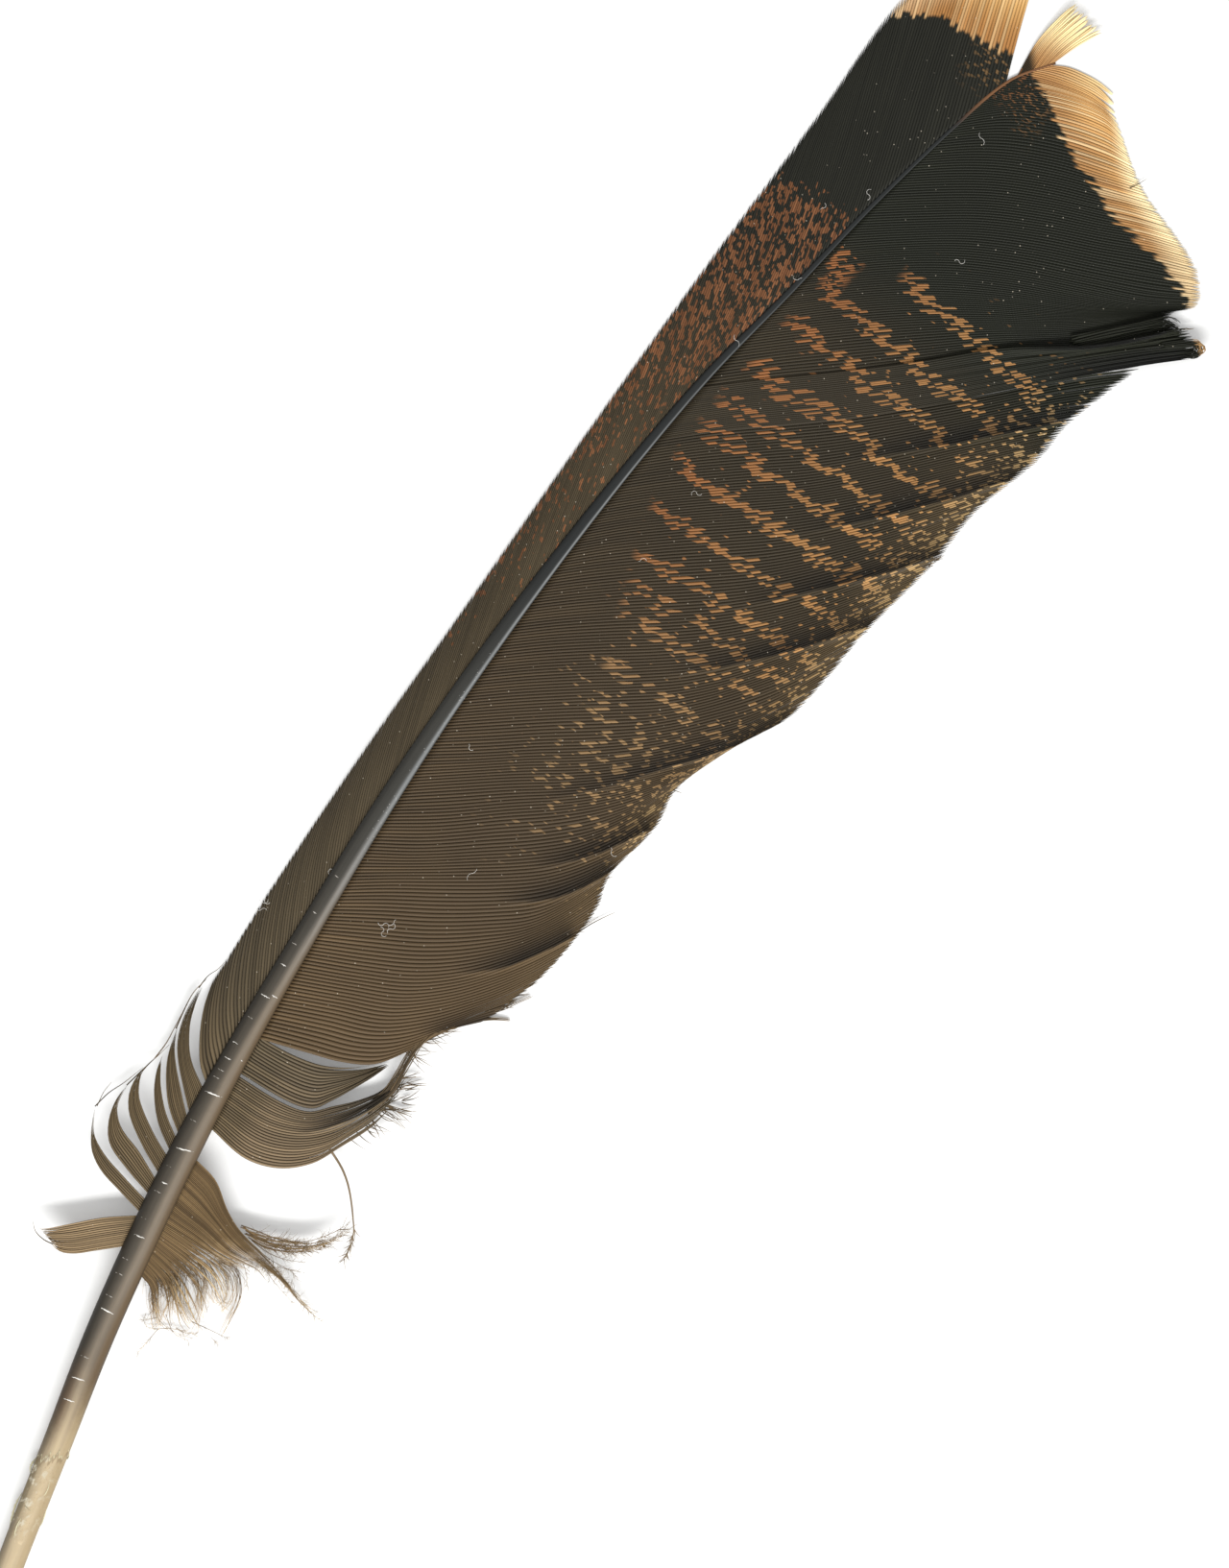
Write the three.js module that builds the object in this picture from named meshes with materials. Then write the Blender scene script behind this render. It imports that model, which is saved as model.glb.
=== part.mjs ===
// A turkey flight feather lying on a flat surface with its upper side up.
// Millimetres, +Z up. While it is built, y runs from the quill's foot at 0 to the tip, and x runs
// across the feather. The finished group is moved so that its origin is the centre of its base.
import * as THREE from 'three';

// Shaft: centre x, y and width at hand-picked stations from the foot to the tip.
const SHAFT_STATIONS = [
  [0.0, 0, 2.4], [-0.6, 3, 4.2], [-1.4, 7, 4.9], [-4.4, 20, 4.9], [-8.7, 40, 5.1],
  [-13.0, 60, 5.3], [-16.3, 80, 5.4], [-18.9, 100, 5.2], [-20.6, 120, 4.6],
  [-21.7, 140, 4.0], [-22.6, 160, 3.6], [-22.8, 180, 3.15], [-22.3, 200, 2.8],
  [-21.2, 220, 2.35], [-19.5, 240, 1.95], [-17.0, 260, 1.6], [-13.1, 280, 1.15],
  [-9.5, 300, 0.85], [-5.0, 320, 0.65], [-1.4, 332, 0.5], [3.6, 339, 0.4],
];
const SHAFT_STEPS = 44;
const SHAFT_DEPTH_RATIO = 0.86; // depth over width
// Half of the shaft's section as fractions of width and depth, from the flat belly to the back.
const SHAFT_SECTION = [[0.24, 0], [0.42, 0.14], [0.5, 0.42], [0.47, 0.74], [0.31, 0.95]];
const FLAT_FOOT_LENGTH = 28; // the foot lies flat this far, and the shaft arches beyond it
const TIP_Y = 339;
const ARCH_HEIGHT = 3.2; // clearance under the shaft at the top of its arch

// Webs: thin sheets of barbs that leave the sides of the shaft.
const WEB_THICKNESS = 0.42;
const WEB_GAP = 0.32; // clearance between a web and the shaft
const ROOT_HEIGHT_RATIO = 0.62; // barbs leave the shaft at this share of its depth
const CAMBER_POWER = 1.7; // how long a web stays high before it droops to its outer edge
const EDGE_HEIGHT = WEB_THICKNESS / 2; // an outer edge that lies on the surface

const STRAY_BARB_WIDTH = 0.6;
const STRAY_BARB_SIDES = 6;
const STRAY_BARB_STEPS = 16;

const LEFT = -1;
const RIGHT = 1;

const COLOURS = {
  quill: { color: 0x4a423a, roughness: 0.45 },
  brown: { color: 0x4a3f33, roughness: 0.8 },
  black: { color: 0x24221e, roughness: 0.7 },
  rust: { color: 0x6b4526, roughness: 0.8 },
  down: { color: 0x9a8468, roughness: 0.95 },
};

// Smooth curve through values set at rising keys, read at one key.
function smooth(keys, points, key) {
  const last = keys.length - 1;
  let i = 0;
  while (i < last - 1 && key > keys[i + 1]) i += 1;
  const slope = (n) => {
    const before = Math.max(n - 1, 0);
    const after = Math.min(n + 1, last);
    const span = keys[after] - keys[before];
    return points[n].map((_, c) => (points[after][c] - points[before][c]) / span);
  };
  const span = keys[i + 1] - keys[i];
  const t = Math.min(Math.max((key - keys[i]) / span, 0), 1);
  const startSlope = slope(i);
  const endSlope = slope(i + 1);
  const t2 = t * t;
  const t3 = t2 * t;
  return points[i].map((value, c) => (
    (2 * t3 - 3 * t2 + 1) * value + (t3 - 2 * t2 + t) * span * startSlope[c]
    + (3 * t2 - 2 * t3) * points[i + 1][c] + (t3 - t2) * span * endSlope[c]
  ));
}

// Distances along a line of points, starting at 0.
function distances(points) {
  const keys = [0];
  for (let i = 1; i < points.length; i += 1) {
    keys.push(keys[i - 1] + Math.hypot(...points[i].map((value, c) => value - points[i - 1][c])));
  }
  return keys;
}

const stationKeys = SHAFT_STATIONS.map(([, y]) => y);
const stationValues = SHAFT_STATIONS.map(([x, , width]) => [x, width]);

// The shaft at one y: its centre, width, depth, the height of its belly, and its direction.
function shaftAt(y) {
  const [x, width] = smooth(stationKeys, stationValues, y);
  const [ahead] = smooth(stationKeys, stationValues, Math.min(y + 0.5, TIP_Y));
  const [behind] = smooth(stationKeys, stationValues, Math.max(y - 0.5, 0));
  const rise = Math.min(y + 0.5, TIP_Y) - Math.max(y - 0.5, 0);
  const slant = Math.atan2(ahead - behind, rise);
  const t = THREE.MathUtils.clamp((y - FLAT_FOOT_LENGTH) / (TIP_Y - FLAT_FOOT_LENGTH), 0, 1);
  const belly = ARCH_HEIGHT * Math.sin(Math.PI * t) ** 2;
  return { x, width, depth: width * SHAFT_DEPTH_RATIO, belly, slant };
}

// A closed skin over rings of points. Each ring runs counterclockwise to an eye that looks the way
// the rings go.
function loft(rings) {
  const size = rings[0].length;
  const positions = rings.flat(2);
  const index = [];
  for (let r = 0; r < rings.length - 1; r += 1) {
    for (let i = 0; i < size; i += 1) {
      const a = r * size + i;
      const b = r * size + ((i + 1) % size);
      index.push(a, b + size, b, a, a + size, b + size);
    }
  }
  const end = (rings.length - 1) * size;
  // Each end is closed by a strip between the ring's two halves, so a curved edge stays curved.
  for (let i = 0; i < size - 2 - i; i += 1) {
    const across = size - 2 - i;
    index.push(i, across, across + 1);
    index.push(end + i, end + across + 1, end + across);
    if (across > i + 1) {
      index.push(i, i + 1, across);
      index.push(end + i, end + across, end + i + 1);
    }
  }
  const geometry = new THREE.BufferGeometry();
  geometry.setAttribute('position', new THREE.Float32BufferAttribute(positions, 3));
  geometry.setIndex(index);
  geometry.computeVertexNormals();
  return geometry;
}

function shaftGeometry() {
  const mirrored = [...SHAFT_SECTION].reverse().map(([u, v]) => [-u, v]);
  const section = [...SHAFT_SECTION, [0, 1], ...mirrored];
  const rounded = stationKeys.filter((y) => y < FLAT_FOOT_LENGTH);
  const rings = [];
  const ring = (y) => {
    const at = shaftAt(y);
    rings.push(section.map(([u, v]) => [
      at.x + u * at.width * Math.cos(at.slant),
      y - u * at.width * Math.sin(at.slant),
      at.belly + v * at.depth,
    ]));
  };
  rounded.forEach(ring);
  for (let step = 0; step <= SHAFT_STEPS; step += 1) {
    ring(FLAT_FOOT_LENGTH + ((TIP_Y - FLAT_FOOT_LENGTH) * step) / SHAFT_STEPS);
  }
  return loft(rings);
}

// Where a barb leaves one side of the shaft.
function barbRoot(side, y) {
  const at = shaftAt(y);
  const reach = at.width / 2 + WEB_GAP;
  return [at.x + (side * reach) / Math.cos(at.slant), y, at.belly + ROOT_HEIGHT_RATIO * at.depth];
}

// A web between guide barbs. Each guide is the y of its root on the shaft and the points it passes.
function webGeometry({ side, guides, barbs, steps, tipHeight = EDGE_HEIGHT }) {
  const lines = guides.map(([rootY, ...path]) => {
    const root = barbRoot(side, rootY);
    const points = [root.slice(0, 2), ...path];
    return { points, keys: distances(points), rootHeight: root[2] };
  });
  return sheetGeometry(lines, { side, barbs, steps, tipHeight });
}

function sheetGeometry(lines, { side, barbs, steps, tipHeight }) {
  const order = side === RIGHT ? lines : [...lines].reverse();
  const across = distances(order.map((line) => line.points[0]));
  const widest = across[across.length - 1];
  const rings = [];
  for (let row = 0; row <= steps; row += 1) {
    const share = row / steps;
    const stations = order.map((line) => {
      const [x, y] = smooth(line.keys, line.points, share * line.keys[line.keys.length - 1]);
      const droop = share ** CAMBER_POWER;
      return [x, y, line.rootHeight * (1 - droop) + tipHeight * droop];
    });
    const top = [];
    const bottom = [];
    for (let column = 0; column <= barbs; column += 1) {
      const [x, y, z] = smooth(across, stations, (widest * column) / barbs);
      top.push([x, y, z + WEB_THICKNESS / 2]);
      bottom.unshift([x, y, z - WEB_THICKNESS / 2]);
    }
    rings.push([...top, ...bottom]);
  }
  return loft(rings);
}

// A downy strand that starts out in the open, not at the shaft.
function strandGeometry({ guides, barbs, steps, rootHeight, tipHeight }) {
  const lines = guides.map((points) => ({ points, keys: distances(points), rootHeight }));
  return sheetGeometry(lines, { side: RIGHT, barbs, steps, tipHeight });
}

function strayBarbGeometry(points) {
  const curve = new THREE.CatmullRomCurve3(points.map((point) => new THREE.Vector3(...point)));
  const section = new THREE.Shape();
  for (let i = 0; i < STRAY_BARB_SIDES; i += 1) {
    const angle = (2 * Math.PI * i) / STRAY_BARB_SIDES;
    const corner = [Math.cos(angle), Math.sin(angle)].map((value) => (value * STRAY_BARB_WIDTH) / 2);
    if (i === 0) section.moveTo(...corner);
    else section.lineTo(...corner);
  }
  return new THREE.ExtrudeGeometry(section, { extrudePath: curve, steps: STRAY_BARB_STEPS });
}

const WEBS = {
  wide_vane: {
    side: RIGHT, colour: 'brown', barbs: 44, steps: 12,
    guides: [
      [119.4, [-10, 121.9], [-4, 123.8], [1, 126.6], [4.5, 131.5], [8.5, 138.5], [13.2, 143.6]],
      [126, [-10, 129.8], [-2, 133], [4, 137.8], [9, 143.4], [13.4, 149.5], [17.2, 156]],
      [136, [-10, 140.4], [-2, 144.6], [4.5, 149.6], [10, 155.6], [14.6, 162.5], [18.6, 170.2]],
      [143, [-12, 147.8], [-4, 152.4], [4, 158], [10, 163], [14, 169.4], [17.2, 177.4]],
      [150, [-14, 154.6], [-6, 159.8], [2, 165.2], [8, 170], [13, 176], [16.5, 182], [19.3, 188.4]],
      [157, [-13, 161.9], [-4, 168.6], [4, 174.8], [10, 180.6], [14.8, 188], [18.8, 197.2]],
      [163, [-13, 168.6], [-4, 175.8], [4, 182], [10, 187.6], [15.6, 194.4], [20, 202], [24, 210.2]],
      [170, [-14, 175.6], [-6, 181.6], [2, 187.2], [8, 192], [14, 197.7], [21, 205.8], [28.2, 217.6]],
      [177, [-14, 182.3], [-6, 188.3], [2, 194], [9, 199.6], [16, 206.4], [23, 214.6], [30, 227.4]],
      [184, [-14, 189.8], [-6, 195.8], [2, 201.5], [9, 206.8], [16, 214], [24, 224.6], [31, 236.6]],
      [200, [-14, 205.9], [-6, 211.9], [2, 217.6], [9, 223.2], [17, 231], [25, 240.6], [34.6, 254.6]],
      [211, [-14, 216.8], [-6, 223.2], [2, 229.2], [10, 235.6], [18, 243.6], [26, 252.8], [35.7, 266]],
      [222, [-14, 227.8], [-6, 234.4], [2, 240.6], [10, 247], [19, 255.6], [28, 265.6], [39.6, 278.6]],
      [233, [-12, 239.6], [-2, 247.6], [8, 255.4], [18, 265], [27, 274.2], [34, 281.4], [40.8, 288]],
      [244.8, [-10, 252.2], [0, 260.2], [8, 266.8], [18, 276], [26, 283.6], [36, 293.6], [45.6, 302.4]],
    ],
  },
  turned_tuft: {
    side: RIGHT, colour: 'black', barbs: 5, steps: 14, tipHeight: 1.6,
    guides: [
      [245.9, [-10, 253.2], [0, 261.2], [8, 267.8], [18, 277], [30.4, 289.2], [45.6, 303.4], [52.4, 308.9]],
      [251, [-8, 259.4], [2, 267.4], [14, 277.6], [26, 288.6], [37, 299], [46, 307], [51.5, 311.4]],
      [256, [-8, 263.6], [2, 271.8], [12, 280.4], [24, 291.4], [35.6, 299.6], [43.8, 307.4], [48.6, 313]],
    ],
  },
  fan_vane: {
    side: RIGHT, colour: 'black', barbs: 18, steps: 12,
    guides: [
      [257.2, [-8, 264.9], [2, 273], [12, 281.7], [23.4, 292.2], [34.8, 300.6], [41.6, 307.6], [44.4, 311.4]],
      [268, [-6, 275.8], [6, 285.4], [18, 294], [29, 301], [38.6, 308.2], [45.4, 314.2]],
      [283, [-2, 291.5], [8, 298.4], [18, 303.6], [30, 308.6], [40, 312.9], [48, 317.8]],
      [295, [-2, 301], [8, 307.8], [18, 312.8], [28, 316.9], [36, 320.4], [43.6, 323]],
      [312.3, [0, 317.4], [6, 321], [14, 324.5], [22, 327], [29, 329]],
      [325.5, [-0.4, 328.6], [3, 331.3], [9, 334], [16, 335.6], [20.5, 334.8]],
      [334, [3, 335.4], [7, 336.6], [12, 337.5], [17.2, 337.4]],
      [338.2, [6, 339.7], [9, 340.3], [12, 340.5], [15, 340.1]],
    ],
  },
  tip_tuft: {
    side: LEFT, colour: 'down', barbs: 5, steps: 5, tipHeight: 1.2,
    guides: [
      [333.2, [-1.2, 340], [-0.4, 346], [0.5, 349.8]],
      [336, [1.6, 341], [2.8, 345.6], [4, 349]],
      [338.4, [5, 343], [6.3, 345.6], [7.6, 348]],
    ],
  },
  narrow_vane: {
    side: LEFT, colour: 'rust', barbs: 30, steps: 7,
    guides: [
      [107.4, [-24.6, 109.6], [-27.5, 113.8], [-29.6, 118.2], [-30.8, 122.6]],
      [114, [-25.6, 117.6], [-28.6, 122.6], [-30.9, 128.2]],
      [125, [-26, 130.4], [-29, 136.6], [-31.3, 142.5]],
      [150, [-27, 156.8], [-29.5, 164], [-31.1, 170]],
      [180, [-27, 190.3], [-30.2, 202]],
      [210, [-26, 223], [-29.3, 238]],
      [240, [-24, 260], [-27.9, 277]],
      [262, [-20.1, 281], [-24.7, 301], [-26.2, 308]],
      [280, [-18, 300], [-23, 317], [-25.8, 327.5]],
      [291, [-16, 309], [-21, 325], [-24.6, 336]],
      [300, [-15.5, 320], [-20, 336], [-21.4, 341.5]],
      [318, [-10, 332], [-14.2, 346.2]],
      [331.4, [-4.6, 340], [-7, 347.6]],
    ],
  },
  narrow_lock_1: {
    side: LEFT, colour: 'brown', barbs: 3, steps: 8, tipHeight: 2,
    guides: [
      [82.2, [-24, 83.3], [-29, 84.6], [-32.5, 87], [-36.1, 93.2]],
      [84.6, [-25, 85.9], [-30, 87.3], [-33.5, 89.4], [-35.8, 93.4]],
    ],
  },
  narrow_lock_2: {
    side: LEFT, colour: 'brown', barbs: 3, steps: 8, tipHeight: 2,
    guides: [
      [85.7, [-25, 87.2], [-30, 89.2], [-32.4, 92.3], [-33.5, 96.3], [-33.3, 100.4]],
      [88.6, [-25, 91], [-30, 92.8], [-32.4, 95.2], [-33, 97.6], [-33, 100.4]],
    ],
  },
  narrow_lock_3: {
    side: LEFT, colour: 'brown', barbs: 3, steps: 8, tipHeight: 1.8,
    guides: [
      [89.7, [-25, 92.1], [-30, 95.4], [-32.2, 98.6], [-32.7, 102], [-31.8, 106.6]],
      [93.1, [-25, 95.3], [-30, 98.7], [-31.8, 101.6], [-32.2, 103.6], [-31.6, 106.6]],
    ],
  },
  narrow_lock_4: {
    side: LEFT, colour: 'brown', barbs: 3, steps: 8, tipHeight: 1.6,
    guides: [
      [94.1, [-25, 97], [-28.5, 100.9], [-30.4, 104.4], [-31.1, 107.4]],
      [96.6, [-25, 99.4], [-28.2, 102.7], [-30.1, 105.7], [-30.9, 107.4]],
    ],
  },
  narrow_lock_5: {
    side: LEFT, colour: 'brown', barbs: 3, steps: 8, tipHeight: 1.4,
    guides: [
      [97.4, [-25, 100.4], [-28, 104], [-30.2, 107.8], [-31.7, 113]],
      [100.7, [-25, 104.2], [-28, 107.2], [-30, 109.8], [-31.5, 113]],
    ],
  },
  narrow_lock_6: {
    side: LEFT, colour: 'brown', barbs: 3, steps: 8, tipHeight: 1.2,
    guides: [
      [101.5, [-25, 104.9], [-28, 107.9], [-30.2, 111], [-31.7, 115.4], [-32.2, 121.4]],
      [106.5, [-26.4, 109.6], [-29.6, 114], [-31, 118], [-31.6, 121.4]],
    ],
  },
  bent_lock: {
    side: LEFT, colour: 'brown', barbs: 4, steps: 8, tipHeight: 4.6,
    guides: [
      [75.6, [-22, 72.1], [-24.5, 69.9], [-26.8, 68.8], [-28.6, 69.2]],
      [78.8, [-22.4, 75.4], [-26.4, 71.8], [-29.6, 69.9], [-31.4, 69.8]],
      [81.6, [-24, 77.8], [-28, 73.9], [-31.4, 70.6], [-33, 69.9]],
    ],
  },
  wide_lock_upper: {
    side: RIGHT, colour: 'brown', barbs: 4, steps: 10, tipHeight: 0.8,
    guides: [
      [112.3, [-8, 112.8], [-3.8, 114.1], [-1.8, 116.9], [0.3, 120.6], [2.2, 124.2], [3.8, 127.6]],
      [118.7, [-12, 119.6], [-7, 120.9], [-3, 123], [-0.2, 125.2], [2.4, 128.2]],
    ],
  },
  wide_flap: {
    side: RIGHT, colour: 'brown', barbs: 8, steps: 11, tipHeight: 0.6,
    guides: [
      [101.3, [-9, 100.2], [-3, 102], [1.5, 106], [4, 111], [6.5, 116.5], [7.5, 121]],
      [106.5, [-9, 106.5], [-3, 108.8], [1.5, 113], [4.5, 118.5], [6.4, 123.6], [6.9, 127.5]],
      [111.7, [-9, 112], [-4.2, 113.2], [-1.2, 116.2], [2, 119.6], [4.5, 123.4], [5.2, 128.4]],
    ],
  },
  downy_lock: {
    side: RIGHT, colour: 'down', barbs: 6, steps: 10, tipHeight: 1.6,
    guides: [
      [82.8, [-8, 83.2], [-3, 83.2], [0, 83.4], [2.5, 83.2]],
      [88, [-8, 87], [-2, 85.8], [3, 86], [7, 86], [9.8, 84.6]],
      [95.4, [-11, 94.2], [-6.4, 91], [-2.6, 89.2], [3, 88], [8, 86.6], [13, 84.6], [18, 83.9]],
    ],
  },
  down_tuft: {
    side: RIGHT, colour: 'down', barbs: 6, steps: 8, tipHeight: 0.5,
    guides: [
      [73, [-10.4, 72.2], [-8.5, 70], [-7, 67.8], [-5.4, 66.4]],
      [76, [-8.5, 74.8], [-5, 72], [-2.6, 69.6], [-0.8, 68.9]],
      [79, [-7, 78.2], [-3, 77], [0.6, 74.6], [2.6, 71.6]],
      [82.2, [-7, 82.3], [-2, 82.1], [1.5, 80.6], [3.9, 77.3], [4.9, 72.4]],
    ],
  },
};

const DOWNY_BRANCH = {
  barbs: 3,
  steps: 8,
  rootHeight: 2.6,
  tipHeight: 4,
  guides: [
    [[-0.6, 89], [3, 89.2], [7, 91], [10.4, 93.4], [12.2, 96], [13.3, 99.6]],
    [[-3, 90.1], [0, 90.6], [4, 91.9], [7.6, 93.6], [10.8, 97], [12.7, 100.4]],
  ],
};

const STRAY_BARB_PATH = [
  [4.1, 109.1, 1.9], [6.4, 108, 2.1], [8.6, 106.4, 2.2], [10.6, 104.4, 2.3],
  [12.6, 102, 2.2], [14.4, 99.4, 1.9], [15.4, 95, 1.6],
];

const feather = new THREE.Group();

function addPiece(name, geometry, colour) {
  const material = new THREE.MeshStandardMaterial({ ...COLOURS[colour], metalness: 0 });
  const mesh = new THREE.Mesh(geometry, material);
  mesh.name = name;
  feather.add(mesh);
}

addPiece('shaft', shaftGeometry(), 'quill');
for (const [name, { colour, ...web }] of Object.entries(WEBS)) {
  addPiece(name, webGeometry(web), colour);
}
addPiece('downy_branch', strandGeometry(DOWNY_BRANCH), 'down');
addPiece('stray_barb', strayBarbGeometry(STRAY_BARB_PATH), 'brown');

const box = new THREE.Box3().setFromObject(feather);
const middle = box.getCenter(new THREE.Vector3());
feather.position.set(-middle.x, -middle.y, -box.min.z);

export default feather;
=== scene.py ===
# %% [markdown]
# # A turkey's flight feather, lying flat
# A feather is built like a comb. A hard shaft carries hundreds of barbs, and every barb carries
# finer barbules that zip it to its neighbours, so that a web of barbs looks like one sheet. This
# lesson keeps that plan: the shaft is one lofted skin, and every web is a row of real barbs that
# a geometry tree lays over a curved surface. Lengths are in millimetres while things are drawn,
# with y along the shaft from its foot, and they are moved to the shared frame at the end.

# %% Load the imported model
import math

import bpy
import numpy as np
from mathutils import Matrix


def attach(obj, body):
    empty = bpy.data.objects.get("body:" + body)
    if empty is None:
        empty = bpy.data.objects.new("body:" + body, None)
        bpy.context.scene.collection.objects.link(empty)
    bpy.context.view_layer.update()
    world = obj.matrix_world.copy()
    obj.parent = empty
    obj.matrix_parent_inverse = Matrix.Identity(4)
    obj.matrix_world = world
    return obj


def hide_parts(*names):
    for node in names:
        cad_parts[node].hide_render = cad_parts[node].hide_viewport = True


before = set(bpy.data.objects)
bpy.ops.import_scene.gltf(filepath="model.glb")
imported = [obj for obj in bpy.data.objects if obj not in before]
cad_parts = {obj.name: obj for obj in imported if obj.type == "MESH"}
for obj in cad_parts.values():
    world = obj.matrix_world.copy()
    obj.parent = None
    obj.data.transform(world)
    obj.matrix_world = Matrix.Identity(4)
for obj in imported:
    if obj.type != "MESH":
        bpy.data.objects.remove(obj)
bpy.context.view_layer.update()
MM = 0.001
FEATHER_TO_FRAME = np.array([-8.150, -174.782, 0.0])  # where the shaft's foot lands in the frame
BODY = "root"

# %% [markdown]
# ## Curves and places
# A smooth curve through given points is used everywhere. It is the same one that the solids use,
# so that the detailed pieces land on them. What is drawn in millimetres is moved to the shared
# frame by one more helper.

# %% Curves, distances and the move into the frame


def smooth(keys, points, wanted):
    """Smooth curve through points set at rising keys, read at many keys at once."""
    keys = np.asarray(keys, float)
    points = np.asarray(points, float)
    last = len(keys) - 1
    before = np.maximum(np.arange(last + 1) - 1, 0)
    after = np.minimum(np.arange(last + 1) + 1, last)
    slopes = (points[after] - points[before]) / (keys[after] - keys[before])[:, None]
    wanted = np.clip(np.atleast_1d(wanted), keys[0], keys[-1])
    i = np.clip(np.searchsorted(keys, wanted, side="right") - 1, 0, last - 1)
    span = (keys[i + 1] - keys[i])[:, None]
    t = (wanted - keys[i])[:, None] / span
    return ((2 * t**3 - 3 * t**2 + 1) * points[i] + (t**3 - 2 * t**2 + t) * span * slopes[i]
            + (3 * t**2 - 2 * t**3) * points[i + 1] + (t**3 - t**2) * span * slopes[i + 1])


def distances(points):
    """How far along a path each of its points lies."""
    steps = np.linalg.norm(np.diff(np.asarray(points, float), axis=0), axis=1)
    return np.concatenate([[0.0], np.cumsum(steps)])


def along_path(path, count):
    """Evenly spaced points on the smooth curve through a path's points."""
    keys = distances(path)
    return smooth(keys, path, np.linspace(0, keys[-1], count))


def turns_round(count):
    """Angles spaced evenly round a ring."""
    return np.linspace(0, 2 * np.pi, count + 1)[:-1]


def to_frame(points):
    return (np.asarray(points, float) + FEATHER_TO_FRAME) * MM


print("curves ready")

# %% [markdown]
# ## Skins
# Nearly every shape is a closed skin over rings of points. A skin has a map that unrolls it for
# baking, and some skins keep three numbers at every point for their material to read.

# %% Objects and skins
STRIP_FILL = 0.98  # how much of its strip of the bake map each skin fills


def new_object(name, data):
    thing = bpy.data.objects.new(name, data)
    bpy.context.scene.collection.objects.link(thing)
    return thing


def face_outward(mesh):
    """Turns all faces over if the closed skin encloses its space inside out."""
    mesh.calc_loop_triangles()
    corners = np.zeros(len(mesh.vertices) * 3, np.float32)
    mesh.vertices.foreach_get("co", corners)
    corners = corners.reshape(-1, 3).astype(float)
    corners -= corners.mean(axis=0)
    index = np.zeros(len(mesh.loop_triangles) * 3, np.int32)
    mesh.loop_triangles.foreach_get("vertices", index)
    a, b, c = (corners[i] for i in index.reshape(-1, 3).T)
    if np.einsum("ij,ij->", np.cross(a, b), c) < 0:
        mesh.flip_normals()


def encloses_outward(rings):
    """Whether the skin over these rings has its outside out."""
    rings = rings - rings.mean(axis=(0, 1))
    a, b = rings[:-1], np.roll(rings[:-1], -1, axis=1)
    d, c = rings[1:], np.roll(rings[1:], -1, axis=1)
    return (np.cross(a, b) * c + np.cross(a, c) * d).sum() > 0


def skins(name, many, shares=None):
    """Closed skins as one mesh, each over rings of points with a flat cap on each end. The
    OFBake map unrolls each into a strip of its own: shares is how far round each corner lies."""
    points, faces, places = [], [], []
    first = 0
    for number, rings in enumerate(many):
        rings = np.asarray(rings, float)
        rings = rings if encloses_outward(rings) else rings[:, ::-1]
        count, size = rings.shape[:2]
        around = np.arange(size)
        ahead = (around + 1) % size
        start_row = (first + np.arange(count - 1) * size)[:, None]
        quads = np.stack([start_row + around, start_row + ahead, start_row + ahead + size,
                          start_row + around + size], axis=-1).reshape(-1, 4)
        low_cap = (first + around[::-1]).tolist()
        high_cap = (first + (count - 1) * size + around).tolist()
        turn = np.linspace(0, 1, size + 1) if shares is None else np.asarray(shares)
        turn = (number + STRIP_FILL * turn) / len(many)
        out = np.arange(count) / (count - 1)
        strip = np.zeros((count - 1, size, 4, 2))
        strip[..., 0] = np.stack([turn[:-1], turn[1:], turn[1:], turn[:-1]], axis=-1)
        strip[..., :2, 1] = out[:-1, None, None]
        strip[..., 2:, 1] = out[1:, None, None]
        caps = [(turn[(i - first) % size], out[(i - first) // size]) for i in low_cap + high_cap]
        points.append(rings.reshape(-1, 3))
        faces += [*quads.tolist(), low_cap, high_cap]
        places += [strip.reshape(-1, 2), np.array(caps)]
        first += count * size
    mesh = bpy.data.meshes.new(name)
    mesh.from_pydata(np.concatenate(points).tolist(), [], faces)
    bake_map = mesh.uv_layers.new(name="OFBake")
    bake_map.data.foreach_set("uv", np.concatenate(places).astype(np.float32).ravel())
    mesh.shade_smooth()
    return mesh


def skin_object(name, many, shares=None):
    return new_object(name, skins(name, many, shares))


def hidden(thing):
    """Keeps a pattern out of sight. The trees copy it all the same."""
    thing.hide_render = True
    thing.hide_viewport = True
    return thing


def store_vector(mesh, name, values):
    """Keeps three numbers at every point of a mesh for its material to read."""
    attribute = mesh.attributes.new(name, "FLOAT_VECTOR", "POINT")
    attribute.data.foreach_set("vector", np.asarray(values, np.float32).ravel())


def skin_with_facts(name, rings, facts):
    """A skin over rings of points in millimetres that keeps three "shaft" facts at each point."""
    thing = skin_object(name, [to_frame(rings)])
    order = 1 if encloses_outward(np.array(rings)) else -1
    store_vector(thing.data, "shaft", np.array(facts)[:, ::order])
    return thing


print("skins ready")

# %% [markdown]
# ## Node trees written as sums
# Materials and geometry trees are both graphs of nodes. This little class adds one node a call
# and hands back its output, so that a tree reads like the arithmetic it does. Values that aren't
# linked are typed into their sockets.

# %% A writer for node trees


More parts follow.
